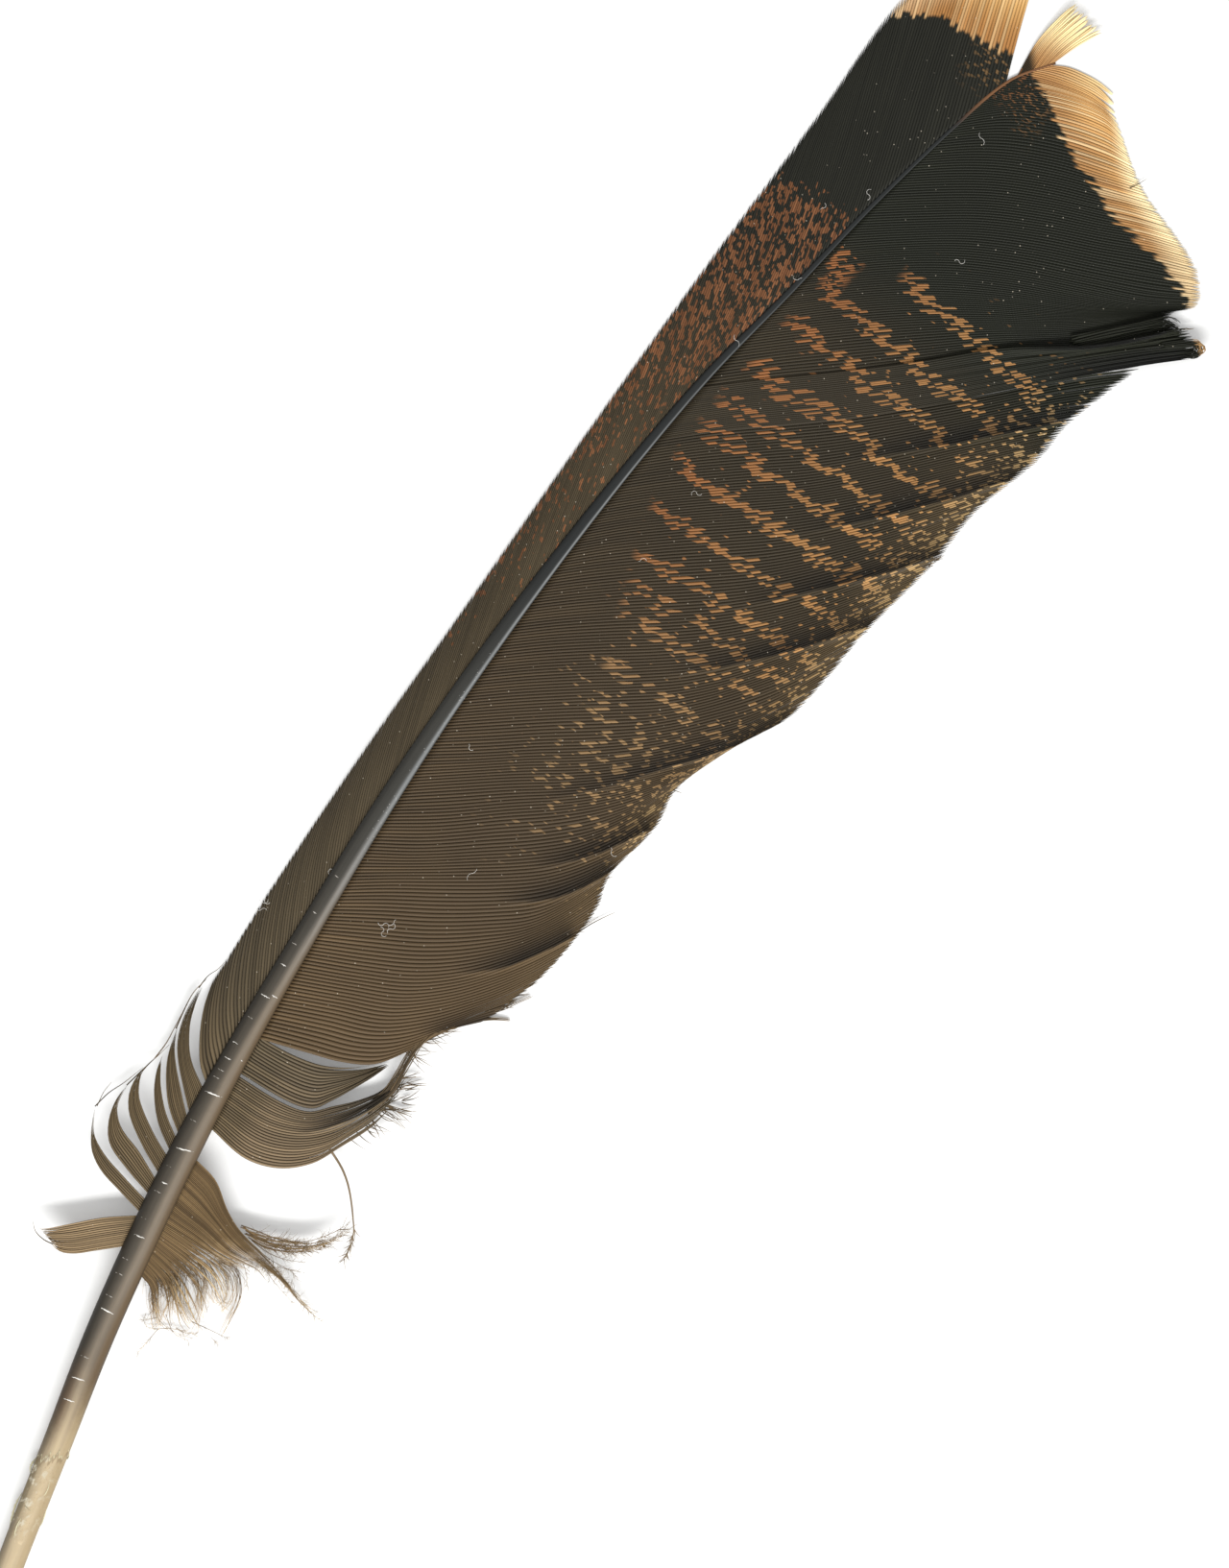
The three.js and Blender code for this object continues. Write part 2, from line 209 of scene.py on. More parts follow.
class Graph:
    """Adds nodes to a tree. Each call hands back the output that the next one needs."""

    def __init__(self, tree, material=None):
        self.tree, self.material = tree, material

    def feed(self, socket, value):
        if isinstance(value, bpy.types.NodeSocket):
            self.tree.links.new(value, socket)
        elif value is not None:
            socket.default_value = value

    def add(self, kind, *values, out=0, **settings):
        """A node whose inputs are fed in their own order."""
        node = self.tree.nodes.new(kind)
        for key, value in settings.items():
            setattr(node, key, value)
        sockets = [s for s in node.inputs if s.enabled]
        for socket, value in zip(sockets, values):
            self.feed(socket, value)
        return [s for s in node.outputs if s.enabled][out]

    def add_named(self, kind, values):
        """A node whose inputs are fed by name."""
        node = self.tree.nodes.new(kind)
        for name, value in values.items():
            self.feed(node.inputs[name], value)
        return node.outputs[0]

    def vector(self, x, y, z=0.0):
        return self.add("ShaderNodeCombineXYZ", x, y, z)

    def parts(self, vector):
        return tuple(self.add("ShaderNodeSeparateXYZ", vector).node.outputs)

    def facts(self, name):
        """The three numbers that a mesh keeps under this name at every point."""
        return self.parts(self.add("ShaderNodeAttribute", attribute_name=name, out=1))

    def math(self, operation, *values):
        return self.add("ShaderNodeMath", *values, operation=operation)

    def chain(self, operation, total, *rest):
        for value in rest:
            total = self.math(operation, total, value)
        return total

    def plus(self, *values):
        return self.chain("ADD", *values)

    def times(self, *values):
        return self.chain("MULTIPLY", *values)

    def minus(self, a, b):
        return self.math("SUBTRACT", a, b)

    def over(self, a, b):
        return self.math("DIVIDE", a, b)

    def least(self, a, b):
        return self.math("MINIMUM", a, b)

    def most(self, a, b):
        return self.math("MAXIMUM", a, b)

    def above(self, value, limit):
        """1 where value is greater than limit, and 0 elsewhere."""
        return self.math("GREATER_THAN", value, limit)

    def near(self, value, centre, reach):
        """1 where value is within reach of centre, and 0 elsewhere."""
        return self.math("COMPARE", value, centre, reach)

    def line(self, value, low, high, start=0.0, end=1.0, **settings):
        """start below low, end above high, and an even slope between."""
        return self.add("ShaderNodeMapRange", value, low, high, start, end, **settings)

    def ramp(self, value, low, high, start=0.0, end=1.0):
        """start below low, end above high, and a soft step between."""
        return self.line(value, low, high, start, end, interpolation_type="SMOOTHSTEP")

    def mix(self, share, a, b):
        return self.add("ShaderNodeMix", share, a, b, data_type="RGBA")

    def climb(self, value, colour, steps):
        """Goes from colour to the next as value rises. Each step is low, high and its colour."""
        for low, high, following in steps:
            colour = self.mix(self.ramp(value, low, high), colour, following)
        return colour

    def scale(self, vector, factor):
        return self.add("ShaderNodeVectorMath", vector, factor, operation="SCALE")

    def noise(self, x, y, z=0.0, detail=2.0, roughness=0.5):
        """Clouds from 0 to 1. x and y each come with a number for how fine they make it."""
        place = self.vector(self.times(*x), self.times(*y), z)
        return self.add("ShaderNodeTexNoise", place, 1.0, detail, roughness)

    def cells(self, x, y, z=0.0):
        """How far it is to the middle of the nearest of many scattered cells."""
        return self.add("ShaderNodeTexVoronoi",
                        self.vector(self.times(*x), self.times(*y), z), 1.0)

    def bump(self, height, strength, distance):
        return self.add_named("ShaderNodeBump", {
            "Strength": strength, "Distance": distance, "Height": height})


print("node writer ready")

# %% [markdown]
# ## Starting and finishing a material
# Every material reads places in drawing millimetres, so that a mark can be given by its height
# up the feather. Colours are written on a scale from 0 to 255 and turned into linear light.

# %% Materials


def srgb(red, green, blue):
    """A colour on a 0 to 255 scale, as linear light."""
    channels = [c / 255 for c in (red, green, blue)]
    linear = [c / 12.92 if c <= 0.04045 else ((c + 0.055) / 1.055) ** 2.4 for c in channels]
    return (*linear, 1.0)


def start_material(name):
    material = bpy.data.materials.new(name)
    material.use_nodes = True
    material.node_tree.nodes.clear()
    return Graph(material.node_tree, material)


def finish_material(g, values):
    """Links a surface with these named values to the output, and hands back the material."""
    surface = g.add_named("ShaderNodeBsdfPrincipled", values)
    output = g.tree.nodes.new("ShaderNodeOutputMaterial")
    g.tree.links.new(surface, output.inputs["Surface"])
    return g.material


def drawing_axes(g):
    """x and y in drawing millimetres, read from the object's own coordinates."""
    x, y, _ = g.parts(g.add("ShaderNodeTexCoord", out=3))
    return [g.minus(g.over(metres, MM), start)
            for metres, start in zip((x, y), FEATHER_TO_FRAME)]


print("material tools ready")

# %% [markdown]
# ## Where the shaft runs
# The shaft bows sideways and arches a little off the surface. These stations are the ones that
# the solid shaft was built from. The function gives its middle, width and depth anywhere.

# %% The shaft's path
SHAFT_STATIONS = np.array([
    [0.0, 0, 2.4], [-0.6, 3, 4.2], [-1.4, 7, 4.9], [-4.4, 20, 4.9], [-8.7, 40, 5.1],
    [-13.0, 60, 5.3], [-16.3, 80, 5.4], [-18.9, 100, 5.2], [-20.6, 120, 4.6],
    [-21.7, 140, 4.0], [-22.6, 160, 3.6], [-22.8, 180, 3.15], [-22.3, 200, 2.8],
    [-21.2, 220, 2.35], [-19.5, 240, 1.95], [-17.0, 260, 1.6], [-13.1, 280, 1.15],
    [-9.5, 300, 0.85], [-5.0, 320, 0.65], [-1.4, 332, 0.5], [3.6, 339, 0.4],
])
SHAFT_DEPTH_RATIO = 0.86
FLAT_FOOT_LENGTH = 28
TIP_Y = 339
ARCH_HEIGHT = 3.2
WEB_SUNK = 0.25  # how far barb roots are set into the shaft
ROOT_HEIGHT_RATIO = 0.62  # how far up the shaft's side they are set
CAMBER_POWER = 1.7  # how late on the way out a web droops


def shaft_at(y):
    """Middle x, width, depth, belly height and slant of the shaft at each y."""
    y = np.atleast_1d(np.asarray(y, float))
    keys, values = SHAFT_STATIONS[:, 1], SHAFT_STATIONS[:, [0, 2]]
    x, width = smooth(keys, values, y).T
    ahead, behind = np.minimum(y + 0.5, TIP_Y), np.maximum(y - 0.5, 0)
    lean = smooth(keys, values, ahead)[:, 0] - smooth(keys, values, behind)[:, 0]
    slant = np.arctan2(lean, ahead - behind)
    t = np.clip((y - FLAT_FOOT_LENGTH) / (TIP_Y - FLAT_FOOT_LENGTH), 0, 1)
    belly = ARCH_HEIGHT * np.sin(np.pi * t) ** 2
    return x, width, width * SHAFT_DEPTH_RATIO, belly, slant


def barb_root(side, y):
    """Where the barb that leaves the shaft at y is rooted."""
    x, width, depth, belly, slant = (v[0] for v in shaft_at(y))
    reach = side * (width / 2 - WEB_SUNK) / math.cos(slant)
    return [x + reach, y, belly + ROOT_HEIGHT_RATIO * depth]


print("shaft is", round(float(shaft_at(80)[1][0]), 2), "mm wide at 80 mm")

# %% [markdown]
# ## The barbs that guide each web
# A web is drawn by a few guide barbs. Each is the y of its root on the shaft and the points that
# it passes. Everything between two guides is a smooth blend of them, which is how real barbs
# behave: each lies much as its neighbours do.

# %% Guide barbs
RIGHT, LEFT = 1, -1
WEBS = {
    "wide_vane": (RIGHT, 0.21, [
        [119.4, [-10, 121.9], [-4, 123.8], [1, 126.6], [4.5, 131.5], [8.5, 138.5], [13.2, 143.6]],
        [126, [-10, 129.8], [-2, 133], [4, 137.8], [9, 143.4], [13.4, 149.5], [17.2, 156]],
        [136, [-10, 140.4], [-2, 144.6], [4.5, 149.6], [10, 155.6], [14.6, 162.5], [18.6, 170.2]],
        [143, [-12, 147.8], [-4, 152.4], [4, 158], [10, 163], [14, 169.4], [17.2, 177.4]],
        [150, [-14, 154.6], [-6, 159.8], [2, 165.2], [8, 170], [13, 176], [16.5, 182],
         [19.3, 188.4]],
        [157, [-13, 161.9], [-4, 168.6], [4, 174.8], [10, 180.6], [14.8, 188], [18.8, 197.2]],
        [163, [-13, 168.6], [-4, 175.8], [4, 182], [10, 187.6], [15.6, 194.4], [20, 202],
         [24, 210.2]],
        [170, [-14, 175.6], [-6, 181.6], [2, 187.2], [8, 192], [14, 197.7], [21, 205.8],
         [28.2, 217.6]],
        [177, [-14, 182.3], [-6, 188.3], [2, 194], [9, 199.6], [16, 206.4], [23, 214.6],
         [30, 227.4]],
        [184, [-14, 189.8], [-6, 195.8], [2, 201.5], [9, 206.8], [16, 214], [24, 224.6],
         [31, 236.6]],
        [200, [-14, 205.9], [-6, 211.9], [2, 217.6], [9, 223.2], [17, 231], [25, 240.6],
         [34.6, 254.6]],
        [211, [-14, 216.8], [-6, 223.2], [2, 229.2], [10, 235.6], [18, 243.6], [26, 252.8],
         [35.7, 266]],
        [222, [-14, 227.8], [-6, 234.4], [2, 240.6], [10, 247], [19, 255.6], [28, 265.6],
         [39.6, 278.6]],
        [233, [-12, 239.6], [-2, 247.6], [8, 255.4], [18, 265], [27, 274.2], [34, 281.4],
         [40.8, 288]],
        [244.8, [-10, 252.2], [0, 260.2], [8, 266.8], [18, 276], [26, 283.6], [36, 293.6],
         [45.6, 302.4]],
    ]),
    "turned_tuft": (RIGHT, 1.6, [
        [245.9, [-10, 253.2], [0, 261.2], [8, 267.8], [18, 277], [30.4, 289.2], [45.6, 303.4],
         [52.4, 308.9]],
        [251, [-8, 259.4], [2, 267.4], [14, 277.6], [26, 288.6], [37, 299], [46, 307],
         [51.5, 311.4]],
        [256, [-8, 263.6], [2, 271.8], [12, 280.4], [24, 291.4], [35.6, 299.6], [43.8, 307.4],
         [48.6, 313]],
    ]),
    "fan_vane": (RIGHT, 0.21, [
        [257.2, [-8, 264.9], [2, 273], [12, 281.7], [23.4, 292.2], [34.8, 300.6], [41.6, 307.6],
         [44.4, 311.4]],
        [268, [-6, 275.8], [6, 285.4], [18, 294], [29, 301], [38.6, 308.2], [45.4, 314.2]],
        [283, [-2, 291.5], [8, 298.4], [18, 303.6], [30, 308.6], [40, 312.9], [48, 317.8]],
        [295, [-2, 301], [8, 307.8], [18, 312.8], [28, 316.9], [36, 320.4], [43.6, 323]],
        [312.3, [0, 317.4], [6, 321], [14, 324.5], [22, 327], [29, 329]],
        [325.5, [-0.4, 328.6], [3, 331.3], [9, 334], [16, 335.6], [20.5, 334.8]],
        [334, [3, 335.4], [7, 336.6], [12, 337.5], [17.2, 337.4]],
        [338.2, [6, 339.7], [9, 340.3], [12, 340.5], [15, 340.1]],
    ]),
    "tip_tuft": (LEFT, 1.2, [
        [333.2, [-1.2, 340], [-0.4, 346], [0.5, 349.8]],
        [336, [1.6, 341], [2.8, 345.6], [4, 349]],
        [338.4, [5, 343], [6.3, 345.6], [7.6, 348]],
    ]),
    "narrow_vane": (LEFT, 0.21, [
        [107.4, [-24.6, 109.6], [-27.5, 113.8], [-29.6, 118.2], [-30.8, 122.6]],
        [114, [-25.6, 117.6], [-28.6, 122.6], [-30.9, 128.2]],
        [125, [-26, 130.4], [-29, 136.6], [-31.3, 142.5]],
        [150, [-27, 156.8], [-29.5, 164], [-31.1, 170]],
        [180, [-27, 190.3], [-30.2, 202]],
        [210, [-26, 223], [-29.3, 238]],
        [240, [-24, 260], [-27.9, 277]],
        [262, [-20.1, 281], [-24.7, 301], [-26.2, 308]],
        [280, [-18, 300], [-23, 317], [-25.8, 327.5]],
        [291, [-16, 309], [-21, 325], [-24.6, 336]],
        [300, [-15.5, 320], [-20, 336], [-21.4, 341.5]],
        [318, [-10, 332], [-14.2, 346.2]],
        [331.4, [-4.6, 340], [-7, 347.6]],
    ]),
    "narrow_lock_1": (LEFT, 2, [
        [82.2, [-24, 83.3], [-29, 84.6], [-32.5, 87], [-36.1, 93.2]],
        [84.6, [-25, 85.9], [-30, 87.3], [-33.5, 89.4], [-35.8, 93.4]],
    ]),
    "narrow_lock_2": (LEFT, 2, [
        [85.7, [-25, 87.2], [-30, 89.2], [-32.4, 92.3], [-33.5, 96.3], [-33.3, 100.4]],
        [88.6, [-25, 91], [-30, 92.8], [-32.4, 95.2], [-33, 97.6], [-33, 100.4]],
    ]),
    "narrow_lock_3": (LEFT, 1.8, [
        [89.7, [-25, 92.1], [-30, 95.4], [-32.2, 98.6], [-32.7, 102], [-31.8, 106.6]],
        [93.1, [-25, 95.3], [-30, 98.7], [-31.8, 101.6], [-32.2, 103.6], [-31.6, 106.6]],
    ]),
    "narrow_lock_4": (LEFT, 1.6, [
        [94.1, [-25, 97], [-28.5, 100.9], [-30.4, 104.4], [-31.1, 107.4]],
        [96.6, [-25, 99.4], [-28.2, 102.7], [-30.1, 105.7], [-30.9, 107.4]],
    ]),
    "narrow_lock_5": (LEFT, 1.4, [
        [97.4, [-25, 100.4], [-28, 104], [-30.2, 107.8], [-31.7, 113]],
        [100.7, [-25, 104.2], [-28, 107.2], [-30, 109.8], [-31.5, 113]],
    ]),
    "narrow_lock_6": (LEFT, 1.2, [
        [101.5, [-25, 104.9], [-28, 107.9], [-30.2, 111], [-31.7, 115.4], [-32.2, 121.4]],
        [106.5, [-26.4, 109.6], [-29.6, 114], [-31, 118], [-31.6, 121.4]],
    ]),
    "bent_lock": (LEFT, 4.6, [
        [75.6, [-22, 72.1], [-24.5, 69.9], [-26.8, 68.8], [-28.6, 69.2]],
        [78.8, [-22.4, 75.4], [-26.4, 71.8], [-29.6, 69.9], [-31.4, 69.8]],
        [81.6, [-24, 77.8], [-28, 73.9], [-31.4, 70.6], [-33, 69.9]],
    ]),
    "wide_lock_upper": (RIGHT, 0.8, [
        [112.3, [-8, 112.8], [-3.8, 114.1], [-1.8, 116.9], [0.3, 120.6], [2.2, 124.2],
         [3.8, 127.6]],
        [118.7, [-12, 119.6], [-7, 120.9], [-3, 123], [-0.2, 125.2], [2.4, 128.2]],
    ]),
    "wide_flap": (RIGHT, 0.6, [
        [101.3, [-9, 100.2], [-3, 102], [1.5, 106], [4, 111], [6.5, 116.5], [7.5, 121]],
        [106.5, [-9, 106.5], [-3, 108.8], [1.5, 113], [4.5, 118.5], [6.4, 123.6], [6.9, 127.5]],
        [111.7, [-9, 112], [-4.2, 113.2], [-1.2, 116.2], [2, 119.6], [4.5, 123.4], [5.2, 128.4]],
    ]),
    "downy_lock": (RIGHT, 1.6, [
        [82.8, [-8, 83.2], [-3, 83.2], [0, 83.4], [2.5, 83.2]],
        [88, [-8, 87], [-2, 85.8], [3, 86], [7, 86], [9.8, 84.6]],
        [95.4, [-11, 94.2], [-6.4, 91], [-2.6, 89.2], [3, 88], [8, 86.6], [13, 84.6], [18, 83.9]],
    ]),
    "down_tuft": (RIGHT, 0.9, [
        [73, [-10.4, 72.2], [-8.5, 70], [-7, 67.8], [-5.4, 66.4]],
        [76, [-8.5, 74.8], [-5, 72], [-2.6, 69.6], [-0.8, 68.9]],
        [79, [-7, 78.2], [-3, 77], [0.6, 74.6], [2.6, 71.6]],
        [82.2, [-7, 82.3], [-2, 82.1], [1.5, 80.6], [3.9, 77.3], [4.9, 72.4]],
    ]),
}
DOWNY_BRANCH = [
    [[-0.6, 89], [3, 89.2], [7, 91], [10.4, 93.4], [12.2, 96], [13.3, 99.6]],
    [[-3, 90.1], [0, 90.6], [4, 91.9], [7.6, 93.6], [10.8, 97], [12.7, 100.4]],
]
DOWNY_BRANCH_HEIGHTS = (2.6, 4.0)
STRAY_BARB_ROOT = [2.2, 109.9, 2.6]
STRAY_BARB_PATH = [
    [4.1, 109.1, 1.9], [6.4, 108, 2.1], [8.6, 106.4, 2.2], [10.6, 104.4, 2.3],
    [12.6, 102, 2.2], [14.4, 99.4, 1.9], [15.4, 95, 1.6],
]
print(len(WEBS), "webs drawn by", sum(len(w[2]) for w in WEBS.values()), "guide barbs")

# %% [markdown]
# ## Creases
# Where barbs have slipped over their neighbours the web rises in a low ridge that runs out
# along the barbs and drops off sharply on the foot's side. Each crease is a line over the web,
# from where it starts to the notch it makes in the outer edge. Its colour also gets painted shade
# on the tip's side of the line and a painted highlight on the foot's side.

# %% Creases in the broad web
CREASES = [
    [[4.3, 134.9], [10, 139.6], [16.1, 145.6]],
    [[3.7, 147.3], [10, 152.6], [14, 158], [17.5, 163.9]],
    [[3.5, 162], [9, 166.2], [13, 170.4], [17, 177.6]],
    [[4.9, 170.4], [12, 177.4], [18.6, 187.4]],
    [[-0.6, 180.6], [8, 189.4], [15.6, 198.9], [22, 206.6], [28.3, 217]],
    [[6, 211.6], [13.7, 218.6], [22, 227.4], [31.2, 238.7]],
    [[9.5, 228.4], [18.5, 237.3], [27, 246.4], [34.9, 256]],
    [[11, 244.4], [20, 253.3], [30, 264.4], [37.8, 274]],
    [[10, 259], [18.6, 266.8], [24, 271.8], [33, 280.6], [41, 288.6]],
    [[30.8, 289], [45.9, 303.2], [52, 308.5]],
    [[24, 292], [36, 300], [44, 307.5], [47, 312]],
    [[-3.9, 108.3], [0.1, 112.4], [4.1, 118.2], [6.9, 125.6]],
]
# The crease colour is painted shade on the tip's side of each line and a painted highlight on the
# foot's side; the reaches and strength below set them.
CREASE_HEIGHT = 0.95
CREASE_REACH = 1.5  # how far the rise spreads on the tip's side of the line
CREASE_DROP = 0.6  # how far it takes to fall on the foot's side
CREASE_SHADE_REACH = 2.7  # how far the dark band beside the line spreads
CREASE_PAINTED_HIGHLIGHT = 0.5  # how much paler the web is on the foot's side, against the dark band's 1
CREASE_PAINTED_HIGHLIGHT_REACH = 2.2
CREASE_STEPS = 60


def creases(x, y):
    """Height, and the painted shade and painted highlight, that the creases add at each point of a
    web.
    """
    total = np.zeros_like(x)
    shade = np.zeros_like(x)
    for line in CREASES:
        path = along_path(line, CREASE_STEPS)
        gap_x = x[..., None] - path[:, 0]
        gap_y = y[..., None] - path[:, 1]
        nearest = np.argmin(gap_x**2 + gap_y**2, axis=-1)
        heading = np.gradient(path, axis=0)[nearest]
        gx = np.take_along_axis(gap_x, nearest[..., None], -1)[..., 0]
        gy = np.take_along_axis(gap_y, nearest[..., None], -1)[..., 0]
        size = np.linalg.norm(heading, axis=-1)
        side = (heading[..., 0] * gy - heading[..., 1] * gx) / size
        beyond = np.abs((heading[..., 0] * gx + heading[..., 1] * gy) / size)
        share = nearest / (CREASE_STEPS - 1)
        swell = np.sin(np.pi / 2 * np.clip(share * 1.6, 0, 1)) * np.exp(-beyond**2)
        profile = np.where(side > 0, np.exp(-side / CREASE_REACH),
                           np.clip(1 + side / CREASE_DROP, 0, 1))
        total = np.maximum(total, CREASE_HEIGHT * swell * profile)
        # Painted shade on the tip's side of the line, and painted highlight, as a negative value,
        # on the foot's side.
        band = np.where(side > 0, np.exp(-(side / CREASE_SHADE_REACH) ** 2),
                        -CREASE_PAINTED_HIGHLIGHT * np.exp(side / CREASE_PAINTED_HIGHLIGHT_REACH))
        shade = np.where(np.abs(swell * band) > np.abs(shade), swell * band, shade)
    return total, shade


print(len(CREASES), "creases")

# %% [markdown]
# ## The surface that a web's barbs lie on
# The guides make a grid: one way runs along the shaft, the other out along the barbs. Its UV map
# holds those two shares, from 0 to 1, and the tree of barbs asks it where a given barb is a
# given way out. The surface itself is thrown away once the barbs are laid.

# %% Web surfaces
SURFACE_ROWS = 96


def guide_lines(side, guides):
    """Each guide barb's points, how far along it they lie, and its root's height."""
    lines = []
    for root_y, *path in guides:
        root = barb_root(side, root_y)
        points = np.array([root[:2], *path], float)
        lines.append((points, distances(points), root[2]))
    return lines


def surface_grid(lines, tip_height, columns, creased, overlap):
    """Points of a web: columns along the shaft by rows out along the barbs. overlap says how far
    the first and last barbs are pushed under the next web, and how late on the way out the push
    fades."""
    along = distances([line[0][0] for line in lines])
    wanted = np.linspace(0, along[-1], columns + 1)
    (low_push, low_power), (high_push, high_power) = overlap
    pushes = [(-low_push, low_power)] + [(0, 1)] * (len(lines) - 2) + [(high_push, high_power)]
    grid = np.zeros((columns + 1, SURFACE_ROWS + 1, 3))
    for row in range(SURFACE_ROWS + 1):
        share = row / SURFACE_ROWS
        droop = share**CAMBER_POWER
        stations = []
        for (points, keys, root_height), (push, power) in zip(lines, pushes):
            x, y = smooth(keys, points, share * keys[-1])[0]
            stations.append([x, y + push * (1 - share**power),
                             root_height * (1 - droop) + tip_height * droop])
        grid[:, row] = smooth(along, stations, wanted)
    shade = np.zeros(grid.shape[:2])
    if creased:
        rise, shade = creases(grid[..., 0], grid[..., 1])
        grid[..., 2] += rise
    return grid, shade


def surface_object(name, grid, shade, upward):
    """A web's surface as a mesh. upward says which way round its faces go."""
    columns, rows = grid.shape[0] - 1, grid.shape[1] - 1
    index = np.arange((columns + 1) * (rows + 1)).reshape(columns + 1, rows + 1)
    a, b = index[:-1, :-1].ravel(), index[1:, :-1].ravel()
    c, d = index[1:, 1:].ravel(), index[:-1, 1:].ravel()
    corners = np.stack([a, b, c, d] if upward else [a, d, c, b], axis=1)
    mesh = bpy.data.meshes.new(name)
    mesh.from_pydata(to_frame(grid.reshape(-1, 3)).tolist(), [], corners.tolist())
    shares = np.stack(np.meshgrid(np.linspace(0, 1, columns + 1), np.linspace(0, 1, rows + 1),
                                  indexing="ij"), axis=-1).reshape(-1, 2)
    web_map = mesh.uv_layers.new(name="web")
    web_map.data.foreach_set("uv", shares[corners.ravel()].astype(np.float32).ravel())
    # The creases' painted shade and painted highlight, kept at each point for the barbs' material.
    painted_crease_shading = mesh.attributes.new("crease", "FLOAT", "POINT")
    painted_crease_shading.data.foreach_set("value", shade.ravel().astype(np.float32))
    mesh.shade_smooth()
    return new_object(name, mesh)


print("surface maker ready")

# %% [markdown]
# ## One barb, drawn flat
# The pattern barb is a straight strip with a raised ridge, the ramus, and a thin wing of zipped
# barbules on each side. One wing's edge is a little high and the other's a little low, so that
# neighbours overlap as shingles do. Its x is a share of the spacing, its y the way out and its z
# a height.

# %% The pattern barb
BARB_SECTION = [  # across in spacings, height in millimetres, counterclockwise from the left edge
    (-0.56, -0.03), (-0.05, -0.16), (0.05, -0.16), (0.56, 0.01),
    (0.22, 0.035), (0.09, 0.075), (-0.09, 0.075), (-0.22, 0.025),
]
SECTION_SHARES = [0.0, 0.12, 0.18, 0.3, 0.5, 0.62, 0.8, 0.9, 1.0]  # how far round each lies


def pattern_barb(name, steps):
    rings = [[(x, s / steps, z * MM) for x, z in BARB_SECTION] for s in range(steps + 1)]
    return hidden(skin_object(name, [rings], SECTION_SHARES))


barb_long = pattern_barb("pattern_barb_long", 36)
barb_short = pattern_barb("pattern_barb_short", 18)
for pattern in (barb_long, barb_short):
    print(pattern.name, "has", len(pattern.data.polygons), "faces")

# %% [markdown]
# ## Starting and running geometry trees
# A tree is made with named inputs, and each run sends its values to them. What a run makes is kept
# as a plain mesh, and the object that it ran on is thrown away. A finished piece is then told
# which body it rides on, and the solids it stands for are hidden.

# %% Tree helpers


def start_tree(name, inputs, output):
    """A geometry tree with named inputs, each given as a default number or a kind of socket."""
    tree = bpy.data.node_groups.new(name, "GeometryNodeTree")
    for label, value in inputs.items():
        is_kind = isinstance(value, str)
        kind = value if is_kind else type(value).__name__.capitalize()
        socket = tree.interface.new_socket(name=label, in_out="INPUT",
                                           socket_type="NodeSocket" + kind)
        if not is_kind:
            socket.default_value = value
    tree.interface.new_socket(name=output, in_out="OUTPUT", socket_type="NodeSocketGeometry")
    return Graph(tree), {s.name: s for s in tree.nodes.new("NodeGroupInput").outputs}


def finish_tree(g, shapes, material):
    """Gives a tree's shapes their material and sends them out."""
    shapes = g.add("GeometryNodeSetMaterial", shapes, True, material)
    g.tree.links.new(shapes, g.tree.nodes.new("NodeGroupOutput").inputs[0])
    return g.tree


def settle(thing, tree, values, name):
    """Runs a geometry tree on an object and keeps the result as a plain mesh."""
    modifier = thing.modifiers.new("tree", "NODES")
    modifier.node_group = tree
    keys = {item.name: item.identifier for item in tree.interface.items_tree
            if item.in_out == "INPUT"}
    for label, value in values.items():
        modifier[keys[label]] = value
    bpy.context.view_layer.update()
    graph = bpy.context.evaluated_depsgraph_get()
    mesh = bpy.data.meshes.new_from_object(thing.evaluated_get(graph),
                                           preserve_all_data_layers=True, depsgraph=graph)
    bpy.data.objects.remove(thing)
    mesh.name = name
    face_outward(mesh)
    return new_object(name, mesh)


def keep(piece, slot, *nodes):
    """Gives a finished piece its body and hides the solids it stands for. Its material slot is not
    used.
    """
    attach(piece, BODY)
    if nodes:
        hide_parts(*nodes)
    print(piece.name, len(piece.data.polygons), "faces")


print("tree helpers ready")

# %% [markdown]
# ## The tree that lays barbs on a web
# The tree copies the pattern barb once for each barb and bends each copy onto the web's surface
# by asking the surface's UV map for the place of every point. It also frays the ends: each
# barb's length differs a little, its tip tapers, and near the edge barbs gather into small locks.

# %% Barbs along a web
MAP_START, MAP_END = 0.0005, 0.9995  # every place is kept this far inside the web's map
TIP_WIDTH = 0.12  # a barb's width at its very tip, as a share of its full width
TIP_RELIEF = 0.25  # how much of its ridge and wings is left there
HIGH_SPLIT_ZONE = (0.72, 0.95)  # share of the web's barbs over which the high split sets in
SPLIT_EARLIER, SPLIT_STRONGER = 0.85, 0.8


